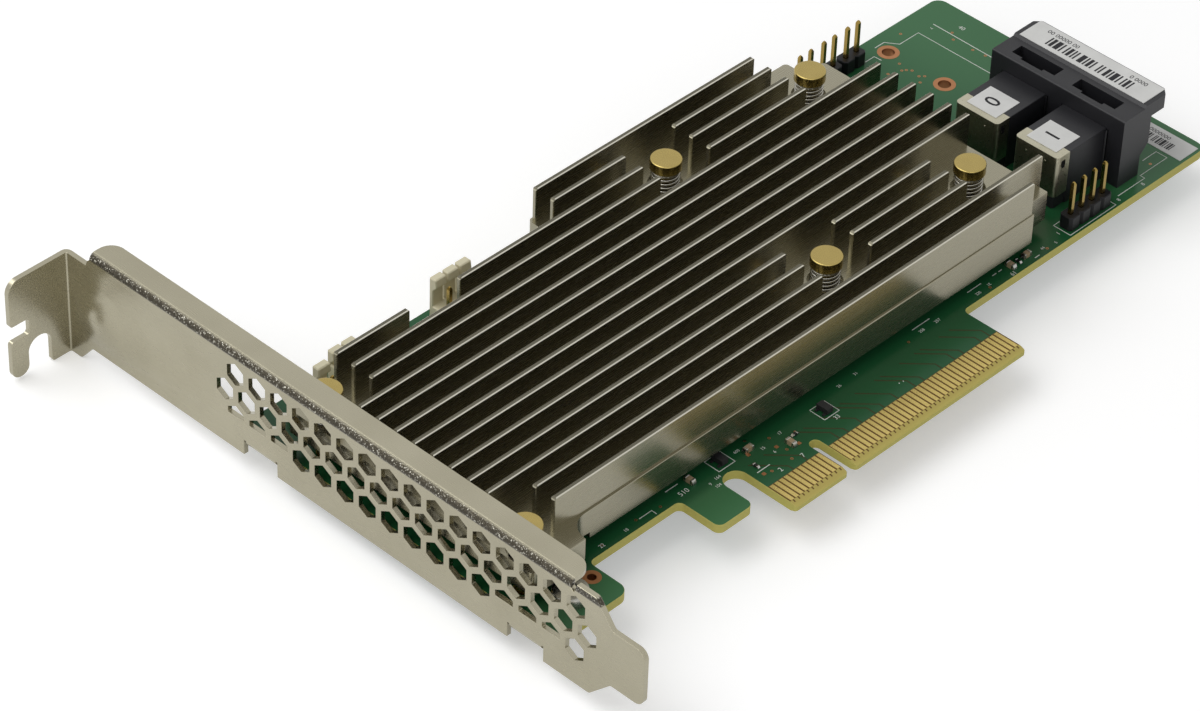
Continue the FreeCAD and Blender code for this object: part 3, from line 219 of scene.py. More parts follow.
def board_finish():
    """Green mask, bare laminate between the pads, and pale cut edges, on one board."""
    f = Finish("solder_mask_and_laminate", MASK_GREEN, Specular_IOR_Level=0.22)
    x, y = f.axis(f.mm, "X"), f.axis(f.mm, "Y")
    flat = f.rises(f.sum("ABSOLUTE", f.axis(f.normal, "Z")), *FACES_UP)
    cut = f.mix(f.noise(0.5, 3, (1, 1, 2.5)), LAMINATE_DARK, LAMINATE)
    hook = f.sum("MULTIPLY", f.rises(x, HOOK_END_X + 0.6, HOOK_END_X - 0.6),
                 f.rises(y, *HOOK_COPPER_Y))
    copper_area = f.sum("MAXIMUM", f.rises(x, *COPPER_AREA_X), hook)
    green = f.mix(f.noise(CLOUDS, 3), MASK_GREEN, MASK_LIGHTER)
    mask = f.mix(copper_area, green, MASK_ON_COPPER)
    above_foot = f.rises(y, PAD_FOOT_Y - 0.06, PAD_FOOT_Y + 0.02)
    off_pitch = f.sum("ABSOLUTE", f.sum("SUBTRACT", f.sum("FRACT", x), 0.5))
    stub = f.sum("MULTIPLY", f.rises(off_pitch, *STUB_EDGE),
                 f.rises(y, STUB_START_Y, STUB_START_Y + 0.1))
    tongue = f.mix(f.sum("MAXIMUM", above_foot, stub), TONGUE_END, BETWEEN_PADS)
    masked = f.sum("MAXIMUM", f.rises(y, MASK_START_Y - 0.05, MASK_START_Y + 0.05),
                   f.rises(x, TONGUE_START_X + 0.05, TONGUE_START_X - 0.05))
    f.feed("Base Color", f.mix(flat, cut, f.mix(masked, tongue, mask)))
    f.feed("Roughness", f.add("ShaderNodeMapRange", "Result", f.sum("MULTIPLY", flat, masked),
                              0.0, 1.0, CUT_ROUGHNESS, MASK_ROUGHNESS))
    f.bump(f.noise(RIPPLE, 3), RIPPLE_DEPTH)
    return f.material


print("mask starts at y", round(MASK_START_Y, 2), "and the hook ends at x", round(HOOK_END_X, 2))


# %% [markdown]
# ## Metals
#
# The bracket is sheet steel with dull nickel plating: warm grey, with a fine rolled grain. Along
# its fold runs a band of coarse relief, coloured dark as painted shade and flecked bright as
# painted glints. The heat sink is extruded and milled aluminium. Its fins stand close together, so
# a ray bounces between them many times, and a true metal shader darkens the channels by itself.
# Each metal keeps one colour and gets its life from slow changes in tone and from fine changes in
# roughness and relief. The tops of the fins are painted darker, as painted shade, and their broken
# edges, which catch the light as bevels, are also painted brighter, as a painted highlight.

# %% Bracket finish
BOARD_TO_BRACKET, SHEET = 0.32, 0.86
BRACKET_OUTSIDE_X = board_low[0] - BOARD_TO_BRACKET - SHEET
FOLD_BAND = (bracket_high[2] - 1.15, bracket_high[2] - 0.12)
NICKEL_DARK, NICKEL_LIGHT = (0.315, 0.292, 0.212), (0.415, 0.388, 0.295)
# The fold colours are painted light: a dark painted shade, flecked with bright painted glints.
FOLD_PAINTED_SHADE, FOLD_PAINTED_GLINT = (0.062, 0.055, 0.041), (0.58, 0.56, 0.48)
ROLLED_GRAIN, GLITTER = 0.3, 0.3
DEEPEST, GRAIN_SHARE, FOLD_RELIEF_SHARE = 0.4, 0.003, 0.5


def bracket_finish():
    """Dull nickel on rolled steel, with a rough fold band in painted shade and painted glints."""
    f = Finish("nickel_plate", NICKEL_LIGHT, metallic=1.0)
    x, z = f.axis(f.mm, "X"), f.axis(f.mm, "Z")
    on_fold = f.sum("MULTIPLY", f.within(z, *FOLD_BAND, 0.12),
                    f.within(x, BRACKET_OUTSIDE_X - 0.3, BRACKET_OUTSIDE_X + 0.8, 0.1))
    glitter = f.noise(GLITTER, 4)
    plain = f.mix(f.noise(11, 3), NICKEL_DARK, NICKEL_LIGHT)
    painted_shade_glints = f.mix(f.rises(glitter, 0.55, 0.72), FOLD_PAINTED_SHADE, FOLD_PAINTED_GLINT)
    f.feed("Base Color", f.mix(on_fold, plain, painted_shade_glints))
    grain = f.noise(ROLLED_GRAIN, 4, (1, 0.1, 1))
    f.shade(grain, 0.22, 0.29)
    flat_grain = f.sum("MULTIPLY", grain, GRAIN_SHARE)
    deep = f.sum("MULTIPLY", f.sum("MULTIPLY", glitter, on_fold), FOLD_RELIEF_SHARE)
    f.bump(f.sum("ADD", flat_grain, deep), DEEPEST)
    return f.material


print("the fold's cracked band is", round(FOLD_BAND[1] - FOLD_BAND[0], 2), "mm high")

# %% Heat sink finish
ALUMINIUM_DARK, ALUMINIUM_LIGHT = (0.275, 0.256, 0.188), (0.325, 0.305, 0.23)
# The fin tops get painted shade, and their broken edges a painted highlight on top of the light
# their bevels catch.
FIN_TOP_PAINTED_SHADE = (0.125, 0.117, 0.086)
FIN_EDGE_PAINTED_HIGHLIGHT = (0.56, 0.54, 0.46)
FIN_TOP_BAND = (sink_high[2] - 0.3, sink_high[2] - 0.25)
TOOL_LINES, TOOL_LINE_DEPTH = 0.14, 0.001


def sink_finish():
    """Milled aluminium, fine lines along the fins, painted shade on fin tops, painted highlight on
    edges.
    """
    f = Finish("milled_aluminium", ALUMINIUM_LIGHT, metallic=1.0)
    lines = f.noise(TOOL_LINES, 3, (0.02, 1, 1))
    plain = f.mix(f.noise(20, 2), ALUMINIUM_DARK, ALUMINIUM_LIGHT)
    up = f.axis(f.normal, "Z")
    on_top = f.rises(f.axis(f.mm, "Z"), *FIN_TOP_BAND)
    # The broken-edge mask carries the painted highlight; the top mask carries the painted shade.
    broken = f.sum("MULTIPLY", f.rises(f.sum("ABSOLUTE", f.axis(f.normal, "Y")), 0.4, 0.5),
                   f.rises(up, 0.4, 0.5))
    top = f.mix(f.rises(up, 0.3, 0.4), plain, FIN_TOP_PAINTED_SHADE)
    f.feed("Base Color", f.mix(on_top, plain, f.mix(broken, top, FIN_EDGE_PAINTED_HIGHLIGHT)))
    f.shade(lines, 0.24, 0.29)
    f.bump(lines, TOOL_LINE_DEPTH)
    return f.material


print("fin tops are dull above z", round(FIN_TOP_BAND[0], 2))

# %% Plated metal finishes
SPECK, PATCH = 0.15, 1.8
DARKER_PATCH = 0.84


def plated_finish(name, colour, roughness, relief=0.01):
    """Metal in one colour, a little darker in patches, with fine specks in its gloss."""
    f = Finish(name, colour, metallic=1.0)
    speck = f.noise(SPECK, 3)
    darker = tuple(c * DARKER_PATCH for c in colour)
    f.feed("Base Color", f.mix(f.noise(PATCH, 2), darker, colour))
    f.shade(speck, roughness * 0.8, roughness * 1.25)
    f.bump(speck, relief)
    return f.material


TIN_DARK, TIN_LIGHT = (0.38, 0.36, 0.265), (0.50, 0.475, 0.37)
WAVE, WAVE_DEPTH = 1.6, 0.03


def cage_finish():
    """Thin tin-plated strip: bright, but a little wavy, so that what it reflects is broken up."""
    f = Finish("cage_tin_plate", TIN_LIGHT, metallic=1.0)
    f.feed("Base Color", f.mix(f.noise(2.2, 3), TIN_DARK, TIN_LIGHT))
    f.shade(f.noise(0.3, 3), 0.26, 0.36)
    f.bump(f.noise(WAVE, 2), WAVE_DEPTH)
    return f.material


print("plated metal has patches of", PATCH, "mm")


# %% [markdown]
# ## Plastic, ceramic, paper and ink
#
# Moulded plastic, fired ceramic, chip epoxy, label paper and ink are all dull, opaque and nearly
# even. What tells them apart is colour, roughness and gloss, so one finish with those three values
# serves them all. It is never perfectly even: slow patches are a little lighter, and a fine grain
# breaks the gloss.

# %% Plastic, ceramic and paper finish
GRAIN, GRAIN_DEPTH, CLOUD = 0.12, 0.012, 3.6


def moulded_finish(name, colour, roughness, gloss=0.35):
    """A dull opaque material with a fine grain and slightly lighter patches."""
    f = Finish(name, colour, Specular_IOR_Level=gloss)
    speck = f.noise(GRAIN, 3)
    lighter = tuple(min(1.0, c * 1.3 + 0.002) for c in colour)
    f.feed("Base Color", f.mix(f.noise(CLOUD, 2), colour, lighter))
    f.shade(speck, roughness * 0.85, min(1.0, roughness * 1.2))
    f.bump(speck, GRAIN_DEPTH)
    return f.material


print("moulded pieces have a grain of", GRAIN, "mm")

# %% Finishes by slot
finishes = {
    "board": board_finish(),
    "gold": plated_finish("gold_plate", (0.64, 0.50, 0.17), 0.3),
    "nickel_steel": bracket_finish(),
    "screw_steel": plated_finish("zinc_plate", (0.42, 0.41, 0.37), 0.28),
    "aluminium": sink_finish(),
    "brass": plated_finish("turned_brass", (0.41, 0.315, 0.108), 0.24, relief=0.004),
    "spring_steel": plated_finish("spring_wire", (0.40, 0.385, 0.34), 0.22),
    "chip": moulded_finish("chip_epoxy", (0.012, 0.012, 0.013), 0.5),
    "thermal_pad": moulded_finish("silicone_pad", (0.30, 0.33, 0.38), 0.8),
    "inductor": moulded_finish("iron_powder", (0.04, 0.04, 0.043), 0.6),
    "capacitor": moulded_finish("fired_ceramic", (0.30, 0.22, 0.135), 0.4),
    "resistor": moulded_finish("resistor_glaze", (0.012, 0.012, 0.013), 0.25),
    "black_plastic": moulded_finish("glass_filled_black", (0.011, 0.011, 0.013), 0.4),
    "header_plastic": moulded_finish("header_black", (0.006, 0.006, 0.007), 0.4, gloss=0.2),
    "cream_plastic": moulded_finish("natural_nylon", (0.56, 0.52, 0.37), 0.42),
    "cage_metal": cage_finish(),
    "label": moulded_finish("label_paper", (0.56, 0.56, 0.545), 0.6, gloss=0.2),
}
pin_gold = plated_finish("pin_gold", (0.34, 0.24, 0.065), 0.22)
copper = plated_finish("bare_copper", (0.40, 0.185, 0.085), 0.4)
solder = plated_finish("solder_joint", (0.46, 0.455, 0.43), 0.25, relief=0.02)
silk_ink = moulded_finish("silk_screen_ink", (0.58, 0.60, 0.56), 0.7, gloss=0.15)
bar_ink = moulded_finish("label_ink", (0.02, 0.02, 0.022), 0.6, gloss=0.15)
under_mask = moulded_finish("copper_under_mask", (0.030, 0.034, 0.009), 0.3, gloss=0.22)
# Near-black painted shade, set where an opening's inside would lie in shade.
deep_shadow = moulded_finish("window_painted_shade", (0.004, 0.004, 0.004), 0.7, gloss=0.1)
for part in frame["record"]["subparts"]:
    shown = nodes[part["node"]]
    finish = pin_gold if part["node"].endswith("_pins") else finishes[part["material_slot"]]
    for place in shown.material_slots:
        place.material = finish
print("finishes on CAD slots:", len(finishes))


# %% [markdown]
# ## Moves used on every piece
#
# Each new piece starts as a primitive with nothing else selected, is shaped in edit mode round the
# origin, and is then copied to its places. Faces and edges are picked by where they are, because a
# script has no mouse. Sizes are given in millimetres.

# %% Millimetres and a clear start
def mm(*values):
    """Millimetres as the metres that Blender works in."""
    scaled = tuple(v * MM for v in values)
    return scaled if len(scaled) > 1 else scaled[0]


def clear():
    """Object mode with nothing selected."""
    if bpy.context.object and bpy.context.object.mode == "EDIT":
        bpy.ops.object.mode_set(mode="OBJECT")
    bpy.ops.object.select_all(action="DESELECT")


def start(name, add, **settings):
    """Add a primitive by itself and leave it in edit mode, all selected."""
    clear()
    add(**settings)
    piece = bpy.context.object
    piece.name = name
    bpy.ops.object.mode_set(mode="EDIT")
    bpy.ops.mesh.select_mode(type="VERT")
    bpy.ops.mesh.select_all(action="SELECT")
    return piece


# %% Pick faces or edges
def pick(test, kind="FACE"):
    """In edit mode, select the faces or edges whose middle and lean pass the test."""
    bpy.ops.mesh.select_mode(type=kind)
    bpy.ops.mesh.select_all(action="DESELECT")
    grid = bmesh.from_edit_mesh(bpy.context.object.data)
    for part in (grid.faces if kind == "FACE" else grid.edges):
        middle = sum((corner.co for corner in part.verts), Vector()) / len(part.verts) / MM
        run = part.verts[1].co - part.verts[0].co
        if test(middle, part.normal if kind == "FACE" else run.normalized()):
            part.select_set(True)
    bmesh.update_edit_mesh(bpy.context.object.data)


# %% Modifiers, joining and copies
def alone(piece):
    """Select this piece only."""
    clear()
    piece.select_set(True)
    bpy.context.view_layer.objects.active = piece


def modify(piece, kind, **settings):
    """Add a modifier, set it and apply it."""
    alone(piece)
    bpy.ops.object.modifier_add(type=kind)
    for key, value in settings.items():
        setattr(piece.modifiers[-1], key, value)
    bpy.ops.object.modifier_apply(modifier=piece.modifiers[-1].name)


def gather(name, pieces):
    """Write each piece's place into its mesh and join them all."""
    clear()
    for piece in pieces:
        piece.select_set(True)
    bpy.context.view_layer.objects.active = pieces[0]
    bpy.ops.object.transform_apply(location=True, rotation=True, scale=True)
    if len(pieces) > 1:
        bpy.ops.object.join()
    pieces[0].name = name
    return pieces[0]


def repeat(master, name, places, turns=None, sizes=None):
    """Copy the master to each place, each copy with its own mesh, as one joined piece."""
    clear()
    copies = []
    for number, place in enumerate(places):
        copy = bpy.data.objects.new(name, master.data.copy())
        copy.location = mm(*place)
        copy.rotation_euler.z = math.radians(turns[number]) if turns else 0.0
        copy.scale = sizes[number] if sizes else (1, 1, 1)
        bpy.context.scene.collection.objects.link(copy)
        copies.append(copy)
    bpy.data.objects.remove(master)
    return gather(name, copies)


# %% Seat a finished piece
def seat(piece, slot, finish, *stands_for, smooth=32):
    """Finish a piece: smooth its round faces, and give it its material and body; slot is not used.
    """
    alone(piece)
    bpy.ops.object.shade_smooth_by_angle(angle=math.radians(smooth))
    piece.data.materials.clear()
    piece.data.materials.append(finish)
    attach(piece, "root")
    if stands_for:
        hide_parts(*stands_for)
    print(piece.name, len(piece.data.polygons), "faces")


# %% [markdown]
# ## Where each copy stands
#
# A CAD node such as the screws holds several solids in one mesh. Each fine piece has to stand
# exactly on its own solid. Typing six places would work once, but they would be wrong after any
# change of the CAD, so the mesh is walked from corner to corner along its edges, and each
# connected group gives one box.

# %% Separate solids of a node
def solids(node):
    """Lowest and highest corner, in millimetres, of each separate solid in a CAD node."""
    shape = bmesh.new()
    shape.from_mesh(nodes[node].data)
    bmesh.ops.remove_doubles(shape, verts=shape.verts, dist=MM / 1000)
    found, seen = [], set()
    for first in shape.verts:
        if first in seen:
            continue
        group, waiting = [], [first]
        seen.add(first)
        while waiting:
            corner = waiting.pop()
            group.append(corner.co / MM)
            for edge in corner.link_edges:
                other = edge.other_vert(corner)
                if other not in seen:
                    seen.add(other)
                    waiting.append(other)
        found.append((Vector([min(p[i] for p in group) for i in range(3)]),
                      Vector([max(p[i] for p in group) for i in range(3)])))
    shape.free()
    return found


print("sink screws:", len(solids("heat_sink_screws")), "springs:", len(solids("screw_springs")))


# %% [markdown]
# ## Broken edges
#
# No real edge is perfectly sharp. Sheet metal is tumbled before plating, a heat sink is deburred,
# and moulded plastic has small radii, and these narrow edges are what catches the light. A bevel
# by hand on each edge would take hours, so a copy of the CAD mesh is merged, its flat faces are
# dissolved, and the Bevel modifier breaks every edge sharper than a limit. On the heat sink only
# the long edges are broken, in edit mode, because its shortest ones would hold the modifier back.
# On the circuit board the same chamfer shows the pale laminate round the green mask, as on a
# routed board.

# %% Break the edges of a CAD node
SHARP, FLAT = math.radians(50), math.radians(0.4)


def broken_edges(node, width, shortest=0.0):
    """A copy of the node with broken edges; with shortest set, only edges longer than that."""
    clear()
    piece = bpy.data.objects.new(node + "_finished", nodes[node].data.copy())
    bpy.context.scene.collection.objects.link(piece)
    alone(piece)
    bpy.ops.mesh.customdata_custom_splitnormals_clear()
    bpy.ops.object.mode_set(mode="EDIT")
    bpy.ops.mesh.select_all(action="SELECT")
    bpy.ops.mesh.remove_doubles(threshold=MM / 1000)
    bpy.ops.mesh.dissolve_limited(angle_limit=FLAT)
    if shortest:
        bpy.ops.mesh.select_mode(type="EDGE")
        bpy.ops.mesh.select_all(action="DESELECT")
        grid = bmesh.from_edit_mesh(piece.data)
        for edge in grid.edges:
            if edge.calc_length() > mm(shortest) and edge.calc_face_angle_signed(0) > SHARP:
                edge.select_set(True)
        bmesh.update_edit_mesh(piece.data)
        bpy.ops.mesh.bevel(offset=mm(width), segments=1, clamp_overlap=False)
        bpy.ops.object.mode_set(mode="OBJECT")
        return piece
    bpy.ops.object.mode_set(mode="OBJECT")
    modify(piece, "BEVEL", width=mm(width), segments=1, limit_method="ANGLE",
           angle_limit=SHARP, miter_outer="MITER_SHARP")
    return piece


# %% Edges broken node by node
BROKEN = {
    "circuit_board": ("board", 0.16), "slot_bracket": ("nickel_steel", 0.13),
    "heat_sink": ("aluminium", 0.14), "port_frame": ("black_plastic", 0.18),
    "port_0_housing": ("black_plastic", 0.15), "port_1_housing": ("black_plastic", 0.15),
    "signal_header_base": ("header_plastic", 0.12), "jumper_0_base": ("header_plastic", 0.12),
    "jumper_1_base": ("header_plastic", 0.12), "jumper_2_base": ("header_plastic", 0.12),
    "cache_header_base": ("cream_plastic", 0.2), "sense_header_base": ("cream_plastic", 0.25),
    "power_header_base": ("cream_plastic", 0.25), "board_nuts": ("screw_steel", 0.15),
}
LONG_EDGES_ONLY = {"heat_sink": 1.2}
for node, (slot, width) in BROKEN.items():
    piece = broken_edges(node, width, shortest=LONG_EDGES_ONLY.get(node, 0.0))
    seat(piece, slot, finishes[slot], node, smooth=24)


# %% [markdown]
# ## Screws and springs
#
# Six turned brass screws hold the heat sink, each with a coil spring under its head that keeps the
# sink pressed on the chips. A screw is turned from bar, so it is shaped here as a turner would: a
# disc, its rim rounded, faint tool rings on top, and the shank drawn down from its underside. A
# spring is a small circle swept by the Screw modifier, with a closed turn at each end.

# %% Turn a screw
SHANK_RADIUS = 1.25
RIM_ROUND = 0.22
RING_WIDTH, RING_DEPTH = 0.38, 0.02
TIP, TIP_TAPER = 0.3, 0.75


def turned_screw(name, radius, height, length, rings):
    """A screw whose head stands on z = 0 and whose shank goes down from there."""
    piece = start(name, bpy.ops.mesh.primitive_cylinder_add, vertices=40, radius=mm(radius),
                  depth=mm(height), location=mm(0, 0, height / 2), end_fill_type="NGON")
    bpy.ops.object.mode_set(mode="OBJECT")
    bpy.ops.object.transform_apply(location=True)
    bpy.ops.object.mode_set(mode="EDIT")
    pick(lambda at, run: at.z > height - 0.01 and abs(run.z) < 0.1, "EDGE")
    bpy.ops.mesh.bevel(offset=mm(RIM_ROUND), segments=3)
    pick(lambda at, lean: lean.z > 0.99)
    for number in range(rings):
        bpy.ops.mesh.inset(thickness=mm(RING_WIDTH))
        bpy.ops.transform.translate(value=mm(0, 0, RING_DEPTH if number % 2 else -RING_DEPTH))
    pick(lambda at, lean: lean.z < -0.99)
    bpy.ops.mesh.inset(thickness=mm(radius - SHANK_RADIUS))
    bpy.ops.mesh.extrude_region_move(TRANSFORM_OT_translate={"value": mm(0, 0, TIP - length)})
    bpy.ops.mesh.extrude_region_move(TRANSFORM_OT_translate={"value": mm(0, 0, -TIP)})
    bpy.ops.transform.resize(value=(TIP_TAPER, TIP_TAPER, 1))
    bpy.ops.object.mode_set(mode="OBJECT")
    return piece


# %% Heat sink screws
HEAD_RADIUS, HEAD_HEIGHT, HEAD_RINGS = 2.55, 1.7, 5
sink_screws = solids("heat_sink_screws")
screw_low, screw_high = sink_screws[0]
head_foot = screw_high.z - HEAD_HEIGHT
screw_places = [((low.x + high.x) / 2, (low.y + high.y) / 2) for low, high in sink_screws]
screw = turned_screw("sink_screw", HEAD_RADIUS, HEAD_HEIGHT, head_foot - screw_low.z, HEAD_RINGS)
seat(repeat(screw, "sprung_screws", [(x, y, head_foot) for x, y in screw_places]),
     "brass", finishes["brass"], "heat_sink_screws")

# %% Springs
WIRE = 0.44
TURNS = 5
spring_low, spring_high = solids("screw_springs")[0]
coil_radius = (spring_high.x - spring_low.x - WIRE) / 2
climb = spring_high.z - spring_low.z - WIRE
spring = start("spring", bpy.ops.mesh.primitive_circle_add, vertices=8, radius=mm(WIRE / 2),
               location=mm(coil_radius, 0, WIRE / 2), rotation=(math.pi / 2, 0, 0))
bpy.ops.object.mode_set(mode="OBJECT")
bpy.ops.object.transform_apply(location=True, rotation=True)
modify(spring, "SCREW", angle=2 * math.pi, screw_offset=mm(climb / TURNS), iterations=TURNS,
       steps=20, render_steps=20)
alone(spring)
bpy.ops.object.mode_set(mode="EDIT")
bpy.ops.mesh.select_all(action="SELECT")
bpy.ops.mesh.fill_holes(sides=0)
for end in (WIRE / 2, climb + WIRE / 2):
    bpy.ops.mesh.primitive_torus_add(major_radius=mm(coil_radius), minor_radius=mm(WIRE / 2),
                                     major_segments=24, minor_segments=8, location=mm(0, 0, end))
bpy.ops.mesh.select_all(action="SELECT")
bpy.ops.mesh.normals_make_consistent(inside=False)
bpy.ops.object.mode_set(mode="OBJECT")
seat(repeat(spring, "coil_springs", [(x, y, spring_low.z) for x, y in screw_places]),
     "spring_steel", finishes["spring_steel"], "screw_springs", smooth=60)

# %% [markdown]
# ### Bracket screws
#
# Two plated steel screws clamp the bracket's tabs to the board. They are turned like the others,
# and have a cross recess, which a press sinks with a four-winged punch. Two thin blocks cut it
# here, one turned by a quarter, because a cut leaves crisp walls where an inset would not reach.

# %% Bracket screws
TAB_HEAD_RADIUS = 2.75
RECESS = (2.6, 0.55, 1.6)
tab_screws = solids("bracket_screws")
tab_low, tab_high = tab_screws[0]
tab_places = [((low.x + high.x) / 2, (low.y + high.y) / 2, 0.0) for low, high in tab_screws]
tab_screw = turned_screw("tab_screw", TAB_HEAD_RADIUS, tab_high.z, -tab_low.z, 1)
cutters = []
for turn in (0, math.pi / 2):
    cutter = start("recess", bpy.ops.mesh.primitive_cube_add, size=1.0)
    bpy.ops.transform.resize(value=mm(*RECESS))
    bpy.ops.object.mode_set(mode="OBJECT")
    cutter.rotation_euler.z = turn
    cutter.location = mm(0, 0, tab_high.z)
    cutters.append(cutter)
for cutter in cutters:
    modify(tab_screw, "BOOLEAN", object=cutter, operation="DIFFERENCE", solver="EXACT")
    bpy.data.objects.remove(cutter)
seat(repeat(tab_screw, "bracket_tab_screws", tab_places), "screw_steel", finishes["screw_steel"],
     "bracket_screws")


# %% [markdown]
# ## Plated holes, vias and solder
#
# A hole that takes a wire or a screw is lined with copper and has a ring on each face. The ring is
# one band: a circle drawn inwards over the face, down through the hole and out again, given the
# thickness of real plating. A via is the same thing in small. Each header pin ends below the board
# in a cone of solder.

# %% Eyelets
def eyelet(name, outside, inside, sides, thickness):
    """A lined hole of the board's thickness, with a ring on each face."""
    top, bottom = board_high[2], board_low[2]
    piece = start(name, bpy.ops.mesh.primitive_circle_add, vertices=sides, radius=mm(outside),
                  location=mm(0, 0, top), fill_type="NOTHING")
    narrow = inside / outside
    bpy.ops.mesh.extrude_region_move(TRANSFORM_OT_translate={"value": (0, 0, 0)})
    bpy.ops.transform.resize(value=(narrow, narrow, 1))
    bpy.ops.mesh.extrude_region_move(TRANSFORM_OT_translate={"value": mm(0, 0, bottom - top)})
    bpy.ops.mesh.extrude_region_move(TRANSFORM_OT_translate={"value": (0, 0, 0)})
    bpy.ops.transform.resize(value=(1 / narrow, 1 / narrow, 1))
    bpy.ops.mesh.select_all(action="SELECT")
    bpy.ops.mesh.normals_make_consistent(inside=False)
    bpy.ops.object.mode_set(mode="OBJECT")
    bpy.ops.object.transform_apply(location=True)
    modify(piece, "SOLIDIFY", thickness=mm(thickness), offset=0.0)
    return piece


# %% Plated holes
PLATING = 0.05
PLATED_HOLES = ((80.86, 64.4, 0), (80.86, 52.35, 0))
HOLE_RING, CORNER_RING = (1.86, 1.1), (1.45, 0.73)
hole_ring = eyelet("ring", *HOLE_RING, 32, PLATING)
seat(repeat(hole_ring, "plated_hole_rings", PLATED_HOLES), "board", copper, smooth=50)
CORNER_HOLE = ((board_low[0] + 13.0, board_low[1] + 10.0, 0),)
corner_ring = eyelet("ring", *CORNER_RING, 24, PLATING)
seat(repeat(corner_ring, "corner_hole_ring", CORNER_HOLE), "board", copper, smooth=50)

# %% Vias
VIAS = [(-3.95, 12.94), (-8.12, 13.09), (-6.99, 15.0), (-0.13, 11.21), (79.82, 61.08),
        (79.31, 59.15), (79.89, 58.42), (78.68, 59.58), (79.52, 56.62), (80.19, 55.98),
        (78.38, 55.39), (76.36, 58.78), (76.36, 60.5), (86.15, 66.39), (91.19, 59.38),
        (92.51, 60.76), (91.32, 55.31), (91.61, 52.86), (-9.06, 7.68), (-3.92, 9.41),
        (-4.91, 7.53), (88.4, 15.9), (93.5, 31.0), (94.2, 36.4), (60.1, 13.4), (46.4, 13.3),
        (27.5, 13.3), (-26.4, 13.6), (-31.0, 14.1), (-38.4, 13.8)]
VIA_RING, VIA_PLATING = (0.27, 0.12), 0.03
via = eyelet("via", *VIA_RING, 8, VIA_PLATING)
seat(repeat(via, "vias", [(x, y, 0) for x, y in VIAS]), "board", copper, smooth=50)

# %% [markdown]
# ### Test pads and solder
#
# A test pad is a bare spot of copper for a probe, here a thin square block with round corners.
# Each header pin goes through the board and is soldered below, where the solder rises along the
# pin as a small cone. A cone primitive gives the slope, and its tip is sunk and rounded where the
# pin's end shows.

# %% Test pads
PAD, PAD_CORNER = (0.62, 0.62, 0.03), 0.08
pad = start("pad", bpy.ops.mesh.primitive_cube_add, size=1.0)
bpy.ops.transform.resize(value=mm(*PAD))
pick(lambda at, run: abs(run.z) > 0.9, "EDGE")
bpy.ops.mesh.bevel(offset=mm(PAD_CORNER), segments=2)
TEST_PADS = [(-4.61, 10.85, 0.01), (-10.35, 8.06, 0.01), (-8.9, 12.5, 0.01), (-1.61, 9.12, 0.01)]
seat(repeat(pad, "test_pads", TEST_PADS), "board", copper)

# %% Solder under the header pins
pin_nodes = [node for node in nodes if node.endswith("_pins")]
pins = [solid for node in pin_nodes for solid in solids(node)]
through = [(low, high) for low, high in pins if low.z < board_low[2] - 0.5]
CONE_HEIGHT, CONE_TIP, CONE_FOOT = 0.8, 0.42, 0.85
TIP_BORDER, TIP_SUNK, TIP_ROUND = 0.12, 0.12, 0.1
cone = start("cone", bpy.ops.mesh.primitive_cone_add, vertices=16, radius1=mm(CONE_TIP),
             radius2=mm(CONE_FOOT), depth=mm(CONE_HEIGHT),
             location=mm(0, 0, board_low[2] - CONE_HEIGHT / 2))
bpy.ops.object.mode_set(mode="OBJECT")
bpy.ops.object.transform_apply(location=True)
bpy.ops.object.mode_set(mode="EDIT")
pick(lambda at, lean: lean.z < -0.9)
bpy.ops.mesh.inset(thickness=mm(TIP_BORDER))
bpy.ops.transform.translate(value=mm(0, 0, -TIP_SUNK))
pick(lambda at, run: abs(at.z - board_low[2] + CONE_HEIGHT) < 0.02 and abs(run.z) < 0.1, "EDGE")
bpy.ops.mesh.bevel(offset=mm(TIP_ROUND), segments=2)
joints = [((low.x + high.x) / 2, (low.y + high.y) / 2, 0) for low, high in through]
seat(repeat(cone, "solder_cones", joints), "spring_steel", solder, smooth=60)


# %% [markdown]
# ## Metal ends of the small parts
#
# A ceramic capacitor and a chip resistor are bricks with a tinned cap over each end and a small
# fillet of solder at its foot. The parts of a node are alike, so one end is modelled, as a
# bevelled cap with a wedge in front, and copied to both ends of each part, turned to face
# outwards.

# %% Capacitor and resistor ends
END_SHARE = 0.24
TIN_OVER, TIN_BREAK = 0.04, 0.05
FILLET, FILLET_HEIGHT = 0.2, 0.3


def tinned_end(reach, width, height):
    """One tinned end round the origin, with its solder fillet towards +X."""
    end = start("end", bpy.ops.mesh.primitive_cube_add, size=1.0)
    bpy.ops.transform.resize(value=mm(reach, width + TIN_OVER, height + TIN_OVER))
    pick(lambda at, run: True, "EDGE")
    bpy.ops.mesh.bevel(offset=mm(TIN_BREAK), segments=1)
    pick(lambda at, lean: lean.x > 0.99)
    bpy.ops.mesh.extrude_region_move(TRANSFORM_OT_translate={"value": mm(FILLET, 0, 0)})
    bpy.ops.transform.resize(value=(1, 1, FILLET_HEIGHT),
                             center_override=mm(reach / 2, 0, -height / 2))
    bpy.ops.object.mode_set(mode="OBJECT")
    return end


def tinned_ends(node, name):
    """Both ends of every part in a node, all copies of one end, because its parts are alike."""
    parts = solids(node)
    first = parts[0][1] - parts[0][0]
    length, width = max(first.x, first.y), min(first.x, first.y)
    reach = length * END_SHARE
    places, turns = [], []
    for low, high in parts:
        along_x = high.x - low.x > high.y - low.y
        middle = (low + high) / 2
        for side in (1, -1):
            shift = side * (length - reach) / 2
            places.append((middle.x + shift, middle.y, middle.z + TIN_OVER / 2) if along_x
                          else (middle.x, middle.y + shift, middle.z + TIN_OVER / 2))
            turns.append((0 if side > 0 else 180) + (0 if along_x else 90))
    return repeat(tinned_end(reach, width, first.z), name, places, turns)


for node in ("ceramic_capacitors", "chip_resistors"):
    seat(tinned_ends(node, node + "_ends"), "spring_steel", solder)


